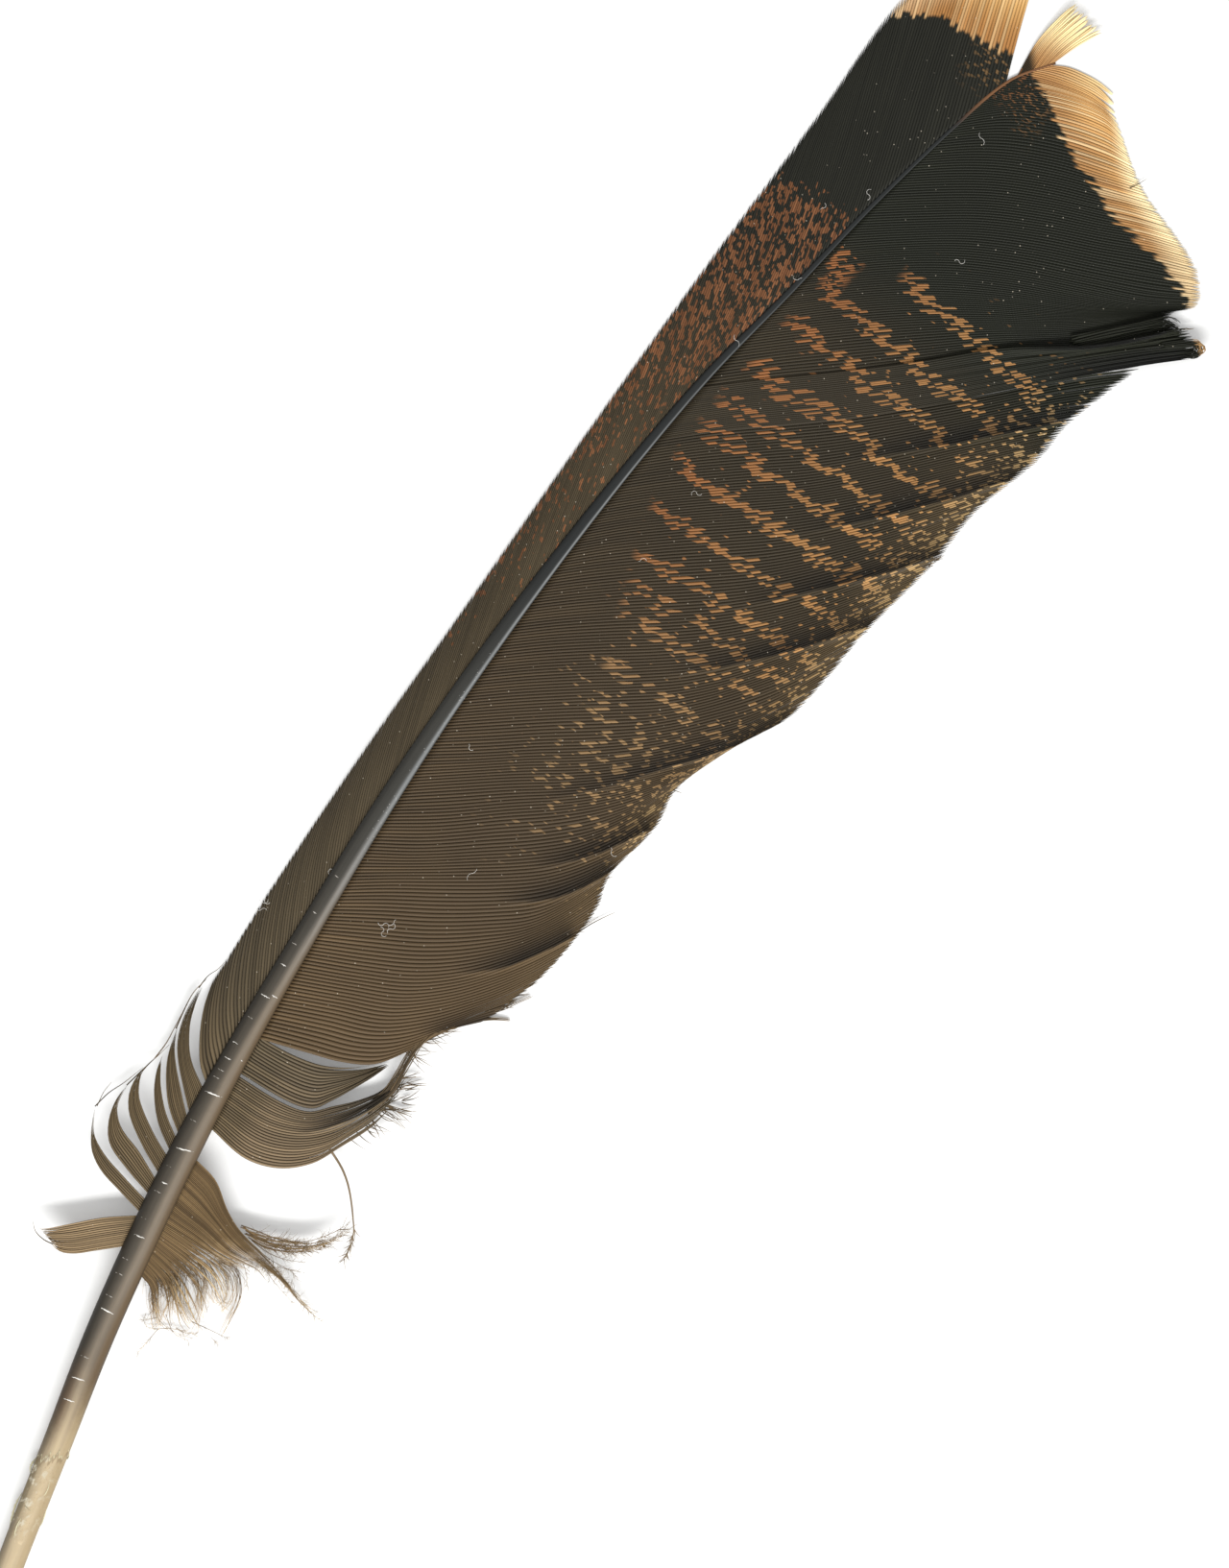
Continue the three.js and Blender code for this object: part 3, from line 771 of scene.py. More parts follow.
def web_tree():
    g, given = start_tree("barbs along a web", {
        "Web": "Geometry", "Pattern barb": "Object", "Barb count": 100, "Width": 1.0,
        "Shortest": 0.96, "Taper": 0.08, "Slimming": 0.5, "Gather size": 5.0, "Gather": 0.5,
        "Gather start": 6.0, "High split": 0.0, "Wander": 0.3, "Lift": 0.0, "Seed": 1,
        "Material": "Material",
    }, "Barbs")
    count = given["Barb count"]

    def attribute(name, kind="FLOAT"):
        return g.add("GeometryNodeInputNamedAttribute", name, data_type=kind)

    def random(low, high, number, shift):
        seed = g.plus(given["Seed"], shift)
        return g.add("FunctionNodeRandomValue", low, high, number, seed, data_type="FLOAT")

    def store(geometry, name, value, kind="FLOAT", domain="POINT"):
        return g.add("GeometryNodeStoreNamedAttribute", geometry, True, name, value,
                     data_type=kind, domain=domain)

    def on_web(value, kind="FLOAT_VECTOR"):
        """A value of the web's surface at the place where each point of a barb belongs."""
        return g.add("GeometryNodeSampleUVSurface", given["Web"], value, web_map, share,
                     data_type=kind)

    roots = g.add("GeometryNodePoints", count, (0.0, 0.0, 0.0), 0.001)
    roots = store(roots, "number", g.add("GeometryNodeInputIndex"))
    pattern = g.add("GeometryNodeObjectInfo", given["Pattern barb"], False, out=4)
    copies = g.add("GeometryNodeInstanceOnPoints", roots, True, pattern)
    barbs = g.add("GeometryNodeRealizeInstances", copies)

    across, out, height = g.parts(g.add("GeometryNodeInputPosition"))
    number = attribute("number")
    length = random(given["Shortest"], 1.0, number, 0)
    share_out = g.least(g.times(out, length), MAP_END)
    tip = g.least(g.over(g.minus(1.0, out), given["Taper"]), 1.0)
    fullness = g.times(1 - TIP_WIDTH, g.math("POWER", tip, given["Slimming"]))
    slim = g.times(given["Width"], g.plus(TIP_WIDTH, fullness))
    middle = g.plus(number, 0.5)
    lock = g.plus(g.math("FLOOR", g.over(middle, given["Gather size"])), 0.5)
    lock = g.times(lock, given["Gather size"])
    high = g.ramp(g.over(middle, count), *HIGH_SPLIT_ZONE, 0.0, given["High split"])
    start = g.times(given["Gather start"], g.minus(1.0, g.times(SPLIT_EARLIER, high)))
    pull = g.times(g.plus(given["Gather"], g.times(SPLIT_STRONGER, high)),
                   g.math("POWER", out, start))
    gathered = g.plus(middle, g.times(pull, g.minus(lock, middle)))
    sway = g.times(random(-1.0, 1.0, number, 7), given["Wander"], g.math("POWER", out, 3.0))
    share_along = g.over(g.plus(gathered, sway, g.times(across, slim)), count)
    share_along = g.least(g.most(share_along, MAP_START), MAP_END)
    share = g.vector(share_along, share_out)
    web_map = attribute("web", "FLOAT_VECTOR")
    ground = on_web(g.add("GeometryNodeInputPosition"))
    up = on_web(g.add("GeometryNodeInputNormal"))
    flutter = g.times(random(-1.0, 1.0, number, 13), given["Lift"], g.math("POWER", out, 4.0))
    relief = g.plus(TIP_RELIEF, g.times(1 - TIP_RELIEF, tip))
    raised = g.scale(up, g.plus(g.times(height, relief), flutter))
    place = g.add("ShaderNodeVectorMath", ground, raised, operation="ADD")

    facts = g.vector(random(0.0, 1.0, number, 21), g.times(out, length), across)
    barbs = store(barbs, "barb", facts, "FLOAT_VECTOR")
    # Each barb carries the creases' painted shade and painted highlight as its shade.
    barbs = store(barbs, "shade", on_web(attribute("crease"), "FLOAT"))
    around, along, _ = g.parts(attribute("OFBake", "FLOAT_VECTOR"))
    strip = g.vector(g.over(g.plus(number, g.times(around, STRIP_FILL)), count), along)
    barbs = store(barbs, "OFBake", strip, "FLOAT2", "CORNER")
    barbs = g.add("GeometryNodeSetPosition", barbs, True, place)
    return finish_tree(g, barbs, given["Material"])


WEB_TREE = web_tree()
print("barb tree has", len(WEB_TREE.nodes), "nodes")

# %% [markdown]
# ## What all barbs share
# A barb's material knows where each point lies on the feather, the barb's own chance number, and
# how far out along the barb and across it the point is. Each barb is painted with shade in the
# grooves beside its ridge and has fine slanting barbules, and a little dust has settled on it. The
# creases' painted shade and painted highlight come with the barb too.

# %% Barb shading
CHANCE_FACTORS = (57.3, 131.7, 311.9)  # each makes another chance number out of a barb's own
DUST = srgb(200, 190, 172)
JITTER_OF_BORDERS = 1.8  # how far, in mm, a border steps from barb to barb


def start_barb_material(name):
    """A material's graph, x and y in mm, and the barb's chance, out and across."""
    g = start_material(name)
    return g, *drawing_axes(g), *g.facts("barb")


def more_chances(g, chance, count=3):
    """More chance numbers from 0 to 1, made from the barb's own."""
    return [g.math("FRACT", g.times(chance, factor)) for factor in CHANCE_FACTORS[:count]]


def line_over_x(g, x, points, low, high):
    """Reads a drawn line, given as points (x, y), at x. low and high bound its y."""
    first, last = points[0][0], points[-1][0]
    node = g.tree.nodes.new("ShaderNodeFloatCurve")
    curve = node.mapping.curves[0]
    shares = [((px - first) / (last - first), (py - low) / (high - low)) for px, py in points]
    curve.points[0].location = shares[0]
    curve.points[1].location = shares[-1]
    for share in shares[1:-1]:
        curve.points.new(*share)
    node.mapping.update()
    g.feed(node.inputs[1], g.line(x, first, last))
    return g.line(node.outputs[0], 0.0, 1.0, low, high)


def past_line(g, x, y, points, low, high, jitter):
    """How far y is past a drawn line, in mm, with each barb's own step added."""
    border = line_over_x(g, x, points, low, high)
    return g.plus(g.minus(y, border), g.times(jitter, JITTER_OF_BORDERS))


def barb_surface(g, colour, across, chance, x, y, depth=0.07, gloss=0.55):
    """Shades a barb: painted shade in the grooves beside its ridge, fine barbules, dust, the
    creases' painted shade and highlight, and a soft shine.
    """
    reach = g.math("ABSOLUTE", across)
    # Painted shade in the grooves beside each barb's ridge, darkening its edges.
    groove = g.ramp(reach, 0.12, 0.42)
    # The creases' painted shade and painted highlight, carried by each barb.
    painted_crease_shading = g.add("ShaderNodeAttribute", attribute_name="shade", out=2)
    barbules = g.add("ShaderNodeTexWave", g.vector(g.times(reach, 1.1), y), 2.6, 0.6, 1.0, 1.0,
                     wave_type="BANDS", bands_direction="DIAGONAL")
    cloud = g.noise((x, 0.09), (y, 0.09), 2.0, 3.0)
    tone = g.times(g.plus(1.0, g.times(depth, chance), g.times(-1.0, depth, groove)),
                   g.plus(0.76, g.times(0.09, barbules)), g.plus(0.82, g.times(0.36, cloud)),
                   g.most(g.minus(1.0, g.times(0.8, painted_crease_shading)), 0.2))
    dust = g.ramp(g.cells((x, 0.62), (y, 0.62)), 0.075, 0.04, 0.0, 0.55)
    return finish_material(g, {
        "Base Color": g.mix(dust, g.scale(colour, tone), DUST),
        "Roughness": g.plus(gloss, g.times(0.2, groove)),
        "Specular IOR Level": 0.2, "Normal": g.bump(barbules, 0.25, 0.00005),
    })


print("barb shading ready")

# %% [markdown]
# ## The broad web's marks
# The pigment was laid down barb by barb while the feather grew, so bars step from one barb to
# the next and never cross one smoothly. Each bar is a height up the feather, and every barb shifts
# it by a chance amount of its own. Towards the outer edge and the foot the bars break up into
# single freckles, and finer ones lie below the buff border.

# %% Broad web marks
BARS = [  # height up the feather and half thickness of each rust bar on the broad web
    (293.0, 1.1), (282.6, 1.2), (274.6, 1.2), (265.2, 1.2), (257.4, 1.0), (251.0, 1.0),
    (243.8, 1.2), (235.4, 1.0), (227.2, 1.1), (221.6, 0.8), (216.6, 1.0), (207.6, 1.0),
    (198.4, 0.9), (192.6, 0.7), (187.4, 0.6),
]
THINNEST_BAR, BAR_SPREAD = 0.38, 0.52  # a barb's part of a bar, as shares of its half thickness
BUFF_LINE = [(0, 334.6), (5, 333.0), (10, 329.8), (15, 327.0), (22, 324.4), (28, 321.8),
             (34, 320.9), (40, 319.1), (45, 317.2), (49, 313.6), (52, 311.4), (54, 310.0)]
DASH_FINENESS = 900.0  # large, so that every barb has dashes of its own


def broad_bars(g, x, y, out, jitter, chances):
    """1 on the rust bars. They fade out to the foot and leave a plain strip by the shaft."""
    _, thickness, rank = chances
    wander = g.noise((x, 0.12), (y, 0.12))
    slope = g.ramp(y, 255.0, 292.0, 0.0, 0.15)
    level = g.plus(y, g.times(x, slope), g.times(jitter, 2.9), g.times(4.2, g.minus(wander, 0.5)))
    bars = 0.0
    for height, half in BARS:
        reach = g.plus(half * THINNEST_BAR, g.times(half * BAR_SPREAD, thickness))
        bars = g.plus(bars, g.near(level, height, reach))
    patch = g.noise((x, 0.2), (y, 0.2), 7.0, 1.0)
    kept = g.plus(g.ramp(y, 183.0, 236.0, 0.3, 1.2), g.minus(patch, 0.5),
                  g.ramp(out, 0.5, 0.85, 0.0, -0.5))
    inner = g.plus(g.ramp(y, 255.0, 190.0, 0.04, 0.3), g.ramp(y, 286.0, 291.0, 0.0, 0.2))
    bars = g.times(g.least(bars, 1.0), g.above(kept, rank),
                   g.ramp(out, inner, g.plus(inner, 0.05)), g.ramp(y, 176.0, 186.0))
    by_shaft = g.times(g.near(level, 286.4, 2.8), g.ramp(out, 0.15, 0.1),
                       g.ramp(out, 0.015, 0.03))
    return bars, by_shaft


def broad_marks(g, x, y, chance, out, jitter, chances, beyond):
    """Bars, freckles and the fine freckles below the buff border, together."""
    bars, by_shaft = broad_bars(g, x, y, out, jitter, chances)
    dash = g.noise((chance, DASH_FINENESS), (y, 1.05), g.times(x, 0.2), 0.0)
    bars = g.most(bars, g.times(by_shaft, g.above(dash, 0.47)))
    edge_zone = g.ramp(out, 0.62, 0.95)
    high_zone = g.times(g.ramp(y, 172.0, 200.0), g.ramp(y, 302.0, 286.0))
    low_zone = g.times(g.ramp(y, 162.0, 186.0), g.ramp(y, 222.0, 200.0), g.ramp(out, 0.12, 0.4))
    limit = g.minus(0.79, g.plus(g.times(0.16, edge_zone, high_zone), g.times(0.11, low_zone)))
    freckles = g.times(g.above(dash, limit), g.most(high_zone, low_zone), g.ramp(out, 0.1, 0.3))
    near_tip = g.times(g.ramp(beyond, -9.0, -4.0), g.ramp(x, 9.0, 4.5))
    fine_dash = g.noise((chance, DASH_FINENESS), (y, 2.2), g.times(x, 0.8), 0.0)
    tip_freckles = g.times(g.ramp(fine_dash, 0.58, 0.64), near_tip, 0.6)
    return g.most(g.most(bars, freckles), tip_freckles)


print(len(BARS), "bars on the broad web")

# %% [markdown]
# ## The broad web's colour
# From foot to tip the ground goes from warm brown to dark olive and then black, and above a drawn
# border it turns buff. The marks are rust where they are fresh and paler where they are worn,
# which is near the outer edge and towards the foot.

# %% Broad web material


def broad_ground(g, x, y, out, jitter):
    """Brown to black, and a little paler along the outer edge."""
    brown = g.climb(y, srgb(84, 67, 44), [(125, 180, srgb(65, 52, 34)),
                                          (180, 262, srgb(47, 40, 26))])
    brown = g.mix(g.times(0.4, g.ramp(out, 0.7, 1.0), g.ramp(y, 300.0, 270.0)),
                  brown, srgb(104, 86, 60))
    black_line = g.plus(y, g.times(x, 0.16), g.times(jitter, 2.0))
    return g.mix(g.ramp(black_line, 270.0, 298.0), brown, srgb(22, 24, 12))


def broad_rust(g, y, out):
    rust = g.mix(g.ramp(out, 0.05, 0.6), srgb(138, 87, 47), srgb(160, 116, 68))
    rust = g.mix(g.ramp(y, 230.0, 195.0), rust, srgb(157, 125, 84))
    return g.mix(g.ramp(out, 0.7, 1.0), rust, srgb(159, 133, 91))


def broad_buff(g, x, y, out, streak, beyond):
    """The tip's buff: single barbs darker or paler, a pale rim, and brown at both its ends."""
    buff = g.mix(g.ramp(beyond, 0.5, 8.0), srgb(164, 120, 72), srgb(208, 160, 98))
    buff = g.mix(g.ramp(y, 336.0, 344.0, 0.0, 0.9), buff, srgb(250, 228, 172))
    buff = g.mix(g.times(0.35, g.ramp(streak, 0.5, 1.0)), buff, srgb(240, 222, 178))
    buff = g.mix(g.times(0.3, g.math("LESS_THAN", streak, 0.16)), buff, srgb(160, 112, 66))
    rim = g.times(g.ramp(out, 0.86, 1.0), g.ramp(x, 34.0, 46.0, 1.0, 0.5))
    buff = g.mix(rim, buff, srgb(252, 232, 184))
    near_shaft = g.times(0.75, g.ramp(out, 0.75, 0.1), g.ramp(y, 334.0, 338.0))
    buff = g.mix(near_shaft, buff, srgb(170, 122, 74))
    tuft_base = g.times(g.ramp(g.plus(y, x), 339.0, 336.0), g.ramp(x, 1.6, 0.8))
    buff = g.mix(tuft_base, buff, srgb(52, 42, 28))
    edge_brown = g.mix(g.ramp(x, 36.0, 47.0), buff, srgb(168, 134, 92))
    return g.mix(g.ramp(y, 318.0, 313.0), buff, edge_brown)


def broad_material():
    g, x, y, chance, out, across = start_barb_material("broad web barbs")
    chances = more_chances(g, chance)
    jitter = g.minus(chances[0], 0.5)
    beyond = past_line(g, x, y, BUFF_LINE, 300.0, 340.0, jitter)
    marks = broad_marks(g, x, y, chance, out, jitter, chances, beyond)
    marked = g.mix(g.times(marks, g.ramp(y, 185.0, 250.0, 0.62, 0.9)),
                   broad_ground(g, x, y, out, jitter), broad_rust(g, y, out))
    is_buff = g.ramp(beyond, -0.3, 0.5)
    colour = g.mix(is_buff, marked, broad_buff(g, x, y, out, chances[1], beyond))
    # depth sets each barb's own tone and the painted shade in its grooves, stronger in the buff and
    # by the shaft.
    depth = g.plus(g.ramp(beyond, -0.3, 0.5, 0.07, 0.25), g.ramp(out, 0.24, 0.02, 0.0, 0.35))
    return barb_surface(g, colour, across, chance, x, y, depth)


broad = broad_material()
print("broad web material has", len(broad.node_tree.nodes), "nodes")

# %% [markdown]
# ## The narrow web's colour
# The narrow web's barbs lie almost along the shaft, so its bars break up into long rust flecks.
# Below the flecks it is plain olive brown, and above them black up to a buff tip.

# %% Narrow web material
NARROW_BUFF_LINE = [(-30, 328.0), (-25, 330.2), (-22, 332), (-20, 333.5), (-17, 334.4),
                    (-10, 335), (-5, 335.4), (0, 334.0)]


def narrow_flecks(g, x, y, chance, out):
    """1 on the long rust flecks, which set in earlier along the outer edge."""
    wave = g.noise((x, 0.8), (g.plus(y, g.times(x, 0.9)), 0.62), 0.0, 1.0)
    fleck = g.noise((chance, DASH_FINENESS), (y, 0.75), 3.0, 0.0)
    field = g.plus(g.times(0.5, wave), g.times(0.5, fleck))
    fade = g.plus(g.ramp(y, 196.0, 236.0, 0.0, 0.3), g.ramp(y, 236.0, 266.0, 0.0, 0.7))
    edge_start = g.times(0.45, g.ramp(out, 0.55, 0.9), g.ramp(y, 188.0, 215.0))
    strength = g.times(g.least(g.plus(fade, edge_start), 1.0), g.ramp(y, 299.0, 293.0))
    limit = g.plus(0.49, g.times(0.14, g.minus(1.0, strength)))
    return g.times(g.ramp(g.minus(field, limit), 0.0, 0.03), g.above(strength, 0.02))


def narrow_material():
    g, x, y, chance, out, across = start_barb_material("narrow web barbs")
    tint, = more_chances(g, chance, 1)
    jitter = g.minus(tint, 0.5)
    tan = g.mix(g.ramp(y, 75.0, 84.0), srgb(128, 108, 80), srgb(92, 78, 56))
    tan = g.mix(g.ramp(x, -14.0, -9.0), tan, srgb(111, 94, 71))
    olive = g.climb(y, tan, [(100, 125, srgb(76, 66, 49)), (130, 240, srgb(72, 62, 45))])
    dark = g.mix(g.ramp(g.plus(y, g.times(jitter, 3.0)), 232.0, 292.0), olive, srgb(32, 32, 25))
    rust = g.mix(tint, srgb(106, 67, 40), srgb(134, 88, 56))
    marked = g.mix(g.times(narrow_flecks(g, x, y, chance, out), 0.85), dark, rust)
    by_shaft = g.times(g.ramp(x, -11.5, -7.0), g.ramp(y, 325.5, 331.5))
    specks = g.noise((chance, DASH_FINENESS), (y, 1.6), 9.0, 0.0)
    marked = g.mix(g.times(by_shaft, g.ramp(specks, 0.58, 0.67), 0.7), marked, srgb(118, 90, 56))
    beyond = past_line(g, x, y, NARROW_BUFF_LINE, 320.0, 340.0, jitter)
    buff = g.mix(g.ramp(beyond, 1.0, 13.0), srgb(166, 116, 64), srgb(222, 178, 112))
    buff = g.mix(g.times(0.4, g.ramp(tint, 0.4, 1.0)), buff, srgb(226, 196, 146))
    buff = g.mix(g.ramp(out, 0.8, 1.0, 0.0, 0.5), buff, srgb(226, 200, 160))
    colour = g.mix(g.ramp(beyond, -0.3, 0.5), marked, buff)
    return barb_surface(g, colour, across, chance, x, y, g.ramp(y, 110.0, 160.0, 0.6, 0.3))


narrow = narrow_material()
print("narrow web material has", len(narrow.node_tree.nodes), "nodes")

# %% [markdown]
# ## Down
# Towards the foot the barbules stop zipping and the barbs turn to down: brown at the root and
# paling to cream as they thin out.

# %% Down material


def down_material():
    g, x, y, chance, out, across = start_barb_material("downy barbs")
    cloud = g.noise((x, 0.5), (y, 0.5))
    share = g.plus(out, g.times(0.5, g.minus(cloud, 0.5)))
    brown = g.mix(chance, srgb(92, 74, 50), srgb(116, 95, 65))
    pale = g.mix(chance, srgb(134, 108, 76), srgb(208, 182, 138))
    paling = g.times(g.ramp(share, 0.3, 0.8), g.ramp(y, 90.0, 78.0, 0.3, 1.0))
    return barb_surface(g, g.mix(paling, brown, pale), across, chance, x, y,
                        depth=0.3, gloss=0.75)


downy = down_material()
print("down material ready")

# %% [markdown]
# ## Laying the webs
# Every web gets its surface, its count of barbs and its own seed. The counts come from the
# spacing of real barbs, a little over half a millimetre on the broad web and less on the narrow
# one.

# %% Lay the barbs
NARROW_LOCK_BARBS = (6, 8, 8, 6, 8, 11)
# Each web's row: barbs, pattern, width, shortest, gather size, gather, wander, lift in mm,
# material and slot.
LAYING = {
    "wide_vane": (186, barb_long, 1.0, 0.997, 5.0, 0.12, 0.15, 0.02, broad, "brown_barbs"),
    "turned_tuft": (24, barb_long, 1.5, 0.988, 7.0, 0.1, 0.5, 0.2, broad, "black_barbs"),
    "fan_vane": (126, barb_long, 1.15, 0.994, 4.0, 0.12, 0.2, 0.03, broad, "black_barbs"),
    "tip_tuft": (18, barb_short, 1.0, 0.93, 4.0, 0.4, 0.4, 0.3, broad, "buff_barbs"),
    "narrow_vane": (216, barb_short, 1.05, 0.997, 6.0, 0.05, 0.1, 0.0, narrow, "brown_barbs"),
    **{f"narrow_lock_{lock}": (barbs, barb_short, 1.0, 0.9, float(barbs), 0.5, 0.3, 0.3, narrow,
                               "brown_barbs") for lock, barbs in enumerate(NARROW_LOCK_BARBS, 1)},
    "bent_lock": (16, barb_short, 1.0, 0.94, 14.0, 0.1, 0.3, 0.2, narrow, "brown_barbs"),
    "wide_lock_upper": (13, barb_long, 1.0, 0.94, 12.0, 0.6, 0.3, 0.3, narrow, "brown_barbs"),
    "wide_flap": (24, barb_long, 1.0, 0.93, 5.0, 0.3, 0.6, 0.5, narrow, "brown_barbs"),
    "downy_lock": (46, barb_long, 1.05, 0.8, 6.0, 0.35, 0.8, 0.4, downy, "down"),
    "down_tuft": (42, barb_long, 1.25, 0.35, 3.0, 0.5, 3.5, 0.3, downy, "down"),
}
CLEAN_EDGE = (0.008, 0.5, 30.0)
LOOSE_EDGE = (0.1, 0.5, 6.0)
EDGES = {  # share of a barb that tapers, how soon it thins, how late the barbs gather
    "wide_vane": CLEAN_EDGE, "fan_vane": CLEAN_EDGE, "narrow_vane": CLEAN_EDGE,
    "turned_tuft": (0.015, 0.5, 30.0), "downy_lock": (0.45, 0.6, 9.0),
    "down_tuft": (0.6, 1.4, 5.0),
}
HIGH_SPLITS = {"fan_vane": 0.9}  # how far the barbs at a web's high end part into small locks
CREASED = ("wide_vane", "turned_tuft", "fan_vane", "wide_flap")
OVERLAPS = {  # push under the neighbour in mm and its power of fading, at the low and high side
    "wide_vane": ((0.5, 0.5), (0.5, 14)), "turned_tuft": ((0.8, 14), (1.0, 20)),
    "fan_vane": ((1.9, 16), (0, 1)), "wide_lock_upper": ((0.1, 2), (1.1, 0.35)),
    "downy_lock": ((0.5, 4), (0, 1)), "down_tuft": ((0, 1), (0.4, 4)),
}
NO_OVERLAP = ((0, 1), (0, 1))
SEED_STEP = 100  # between one web's seed and the next

for seed, (name, plan) in enumerate(LAYING.items()):
    count, pattern, width, shortest, gather_size, gather, wander, lift, material, slot = plan
    side, tip_height, guides = WEBS[name]
    grid, shade = surface_grid(guide_lines(side, guides), tip_height, count * 2,
                               name in CREASED, OVERLAPS.get(name, NO_OVERLAP))
    surface = surface_object(name + "_surface", grid, shade, side == LEFT)
    taper, slimming, gather_start = EDGES.get(name, LOOSE_EDGE)
    barbs = settle(surface, WEB_TREE, {
        "Pattern barb": pattern, "Barb count": count, "Width": width, "Shortest": shortest,
        "Taper": taper, "Slimming": slimming, "Gather size": gather_size, "Gather": gather,
        "Gather start": gather_start, "High split": HIGH_SPLITS.get(name, 0.0), "Wander": wander,
        "Lift": lift * MM, "Seed": seed * SEED_STEP, "Material": material,
    }, name + "_barbs")
    keep(barbs, slot, name)

# %% [markdown]
# ## The shaft
# The shaft is one skin over rings of points. Its section is a rounded wedge, narrow at the belly
# and widest at mid height, and above the quill a groove runs along the belly. The skin
# remembers, at every point, how far across and how far up the section it lies.

# %% Shaft skin
SHAFT_HALF_SECTION = [  # across in widths, up in depths, from the belly's middle to the crown
    [0, 0], [0.13, 0], [0.24, 0.012], [0.42, 0.14], [0.5, 0.42], [0.47, 0.74], [0.31, 0.95],
    [0.14, 0.995], [0, 1],
]
SHAFT_AROUND = 44
SHAFT_ALONG = 360
GROOVE_DEPTH = 0.12  # in shaft depths
GROOVE_HALF_WIDTH = 0.13  # in shaft widths
GROOVE_START, GROOVE_FADE = 62, 20  # where the groove sets in and over what length


def shaft_section():
    """The whole section as evenly spaced points, from the belly's middle round to it again."""
    half = np.array(SHAFT_HALF_SECTION)
    whole = np.concatenate([half, half[-2:0:-1] * [-1, 1], half[:1]])
    keys = distances(whole)
    wanted = np.linspace(0, keys[-1], SHAFT_AROUND + 1)[:-1]
    return np.maximum(smooth(keys, whole, wanted), [-1, 0.004])


def shaft_place(y, across, up, lift=0.0):
    """Points in or on the shaft at shares of its width and depth; lift is in millimetres."""
    x, width, depth, belly, slant = shaft_at(y)
    return np.stack([x + across * width * np.cos(slant), y - across * width * np.sin(slant),
                     belly + up * depth + lift], axis=-1)


def on_crown(y, across, lift):
    """Points on the shaft's upper face, where across runs from -1 at its left edge to 1."""
    section = np.array(SHAFT_HALF_SECTION[4:])[::-1]
    up = np.interp(np.abs(across) / 2, section[:, 0], section[:, 1])
    return shaft_place(y, np.asarray(across) / 2, up, lift)


section = shaft_section()
rings, facts = [], []
for y in np.linspace(0.02, TIP_Y, SHAFT_ALONG):
    ys = np.full(len(section), y)
    groove = GROOVE_DEPTH * np.clip((y - GROOVE_START) / GROOVE_FADE, 0, 1)
    dip = groove * np.exp(-(section[:, 0] / GROOVE_HALF_WIDTH) ** 2) * (section[:, 1] < 0.3)
    rings.append(shaft_place(ys, section[:, 0], section[:, 1] + dip))
    facts.append(np.stack([section[:, 0] * 2, ys, section[:, 1]], axis=-1))
shaft = skin_with_facts("shaft_horn", rings, facts)
print("shaft skin has", len(shaft.data.polygons), "faces")

# %% [markdown]
# ## The horn's colour
# Up the shaft one pigment runs into the next: a cream foot, a tan collar, a grey-brown quill,
# then dark grey and blue-black, and rust where the end is hidden among buff barbs. Across the
# shaft the left flank has painted shade, a pale ridge of painted highlight runs along it, and the
# quill's right flank has painted light, paler and warm. Building it from these few finishes keeps
# each of them easy to change.

# %% Horn material
CREAM_HORN, TAN_HORN, QUILL_HORN = srgb(146, 132, 108), srgb(86, 70, 54), srgb(56, 51, 43)
GREY_HORN, BLACK_HORN, END_HORN = srgb(46, 45, 41), srgb(28, 30, 30), srgb(106, 72, 45)
# The shaded cream, lit-flank and highlight colours are painted light and shade, not pigment.
SHADED_CREAM, CREAM_LIT_FLANK, WARM_LIT_FLANK = srgb(104, 93, 70), srgb(140, 124, 96), srgb(80, 65, 46)
CREAM_HIGHLIGHT, QUILL_HIGHLIGHT, SLATE_HIGHLIGHT = srgb(160, 144, 116), srgb(103, 93, 80), srgb(112, 114, 114)
BELLY_HORN, DARK_BELLY_HORN = srgb(132, 117, 93), srgb(72, 62, 49)
HORN_SPECK = srgb(205, 202, 196)


def ridge_shine(g, place, y):
    """How much of the painted highlight along the shaft shows. It moves to the right and narrows up
    the shaft.
    """
    centre = g.plus(g.ramp(y, 55.0, 80.0, 0.1, 0.34), g.ramp(y, 105.0, 175.0, 0.0, 0.4))
    gap = g.over(g.minus(place, centre), g.ramp(y, 110.0, 225.0, 0.34, 0.15))
    return g.times(g.math("EXPONENT", g.times(-1.0, gap, gap)),
                   g.ramp(y, 215.0, 300.0, 0.95, 0.15))


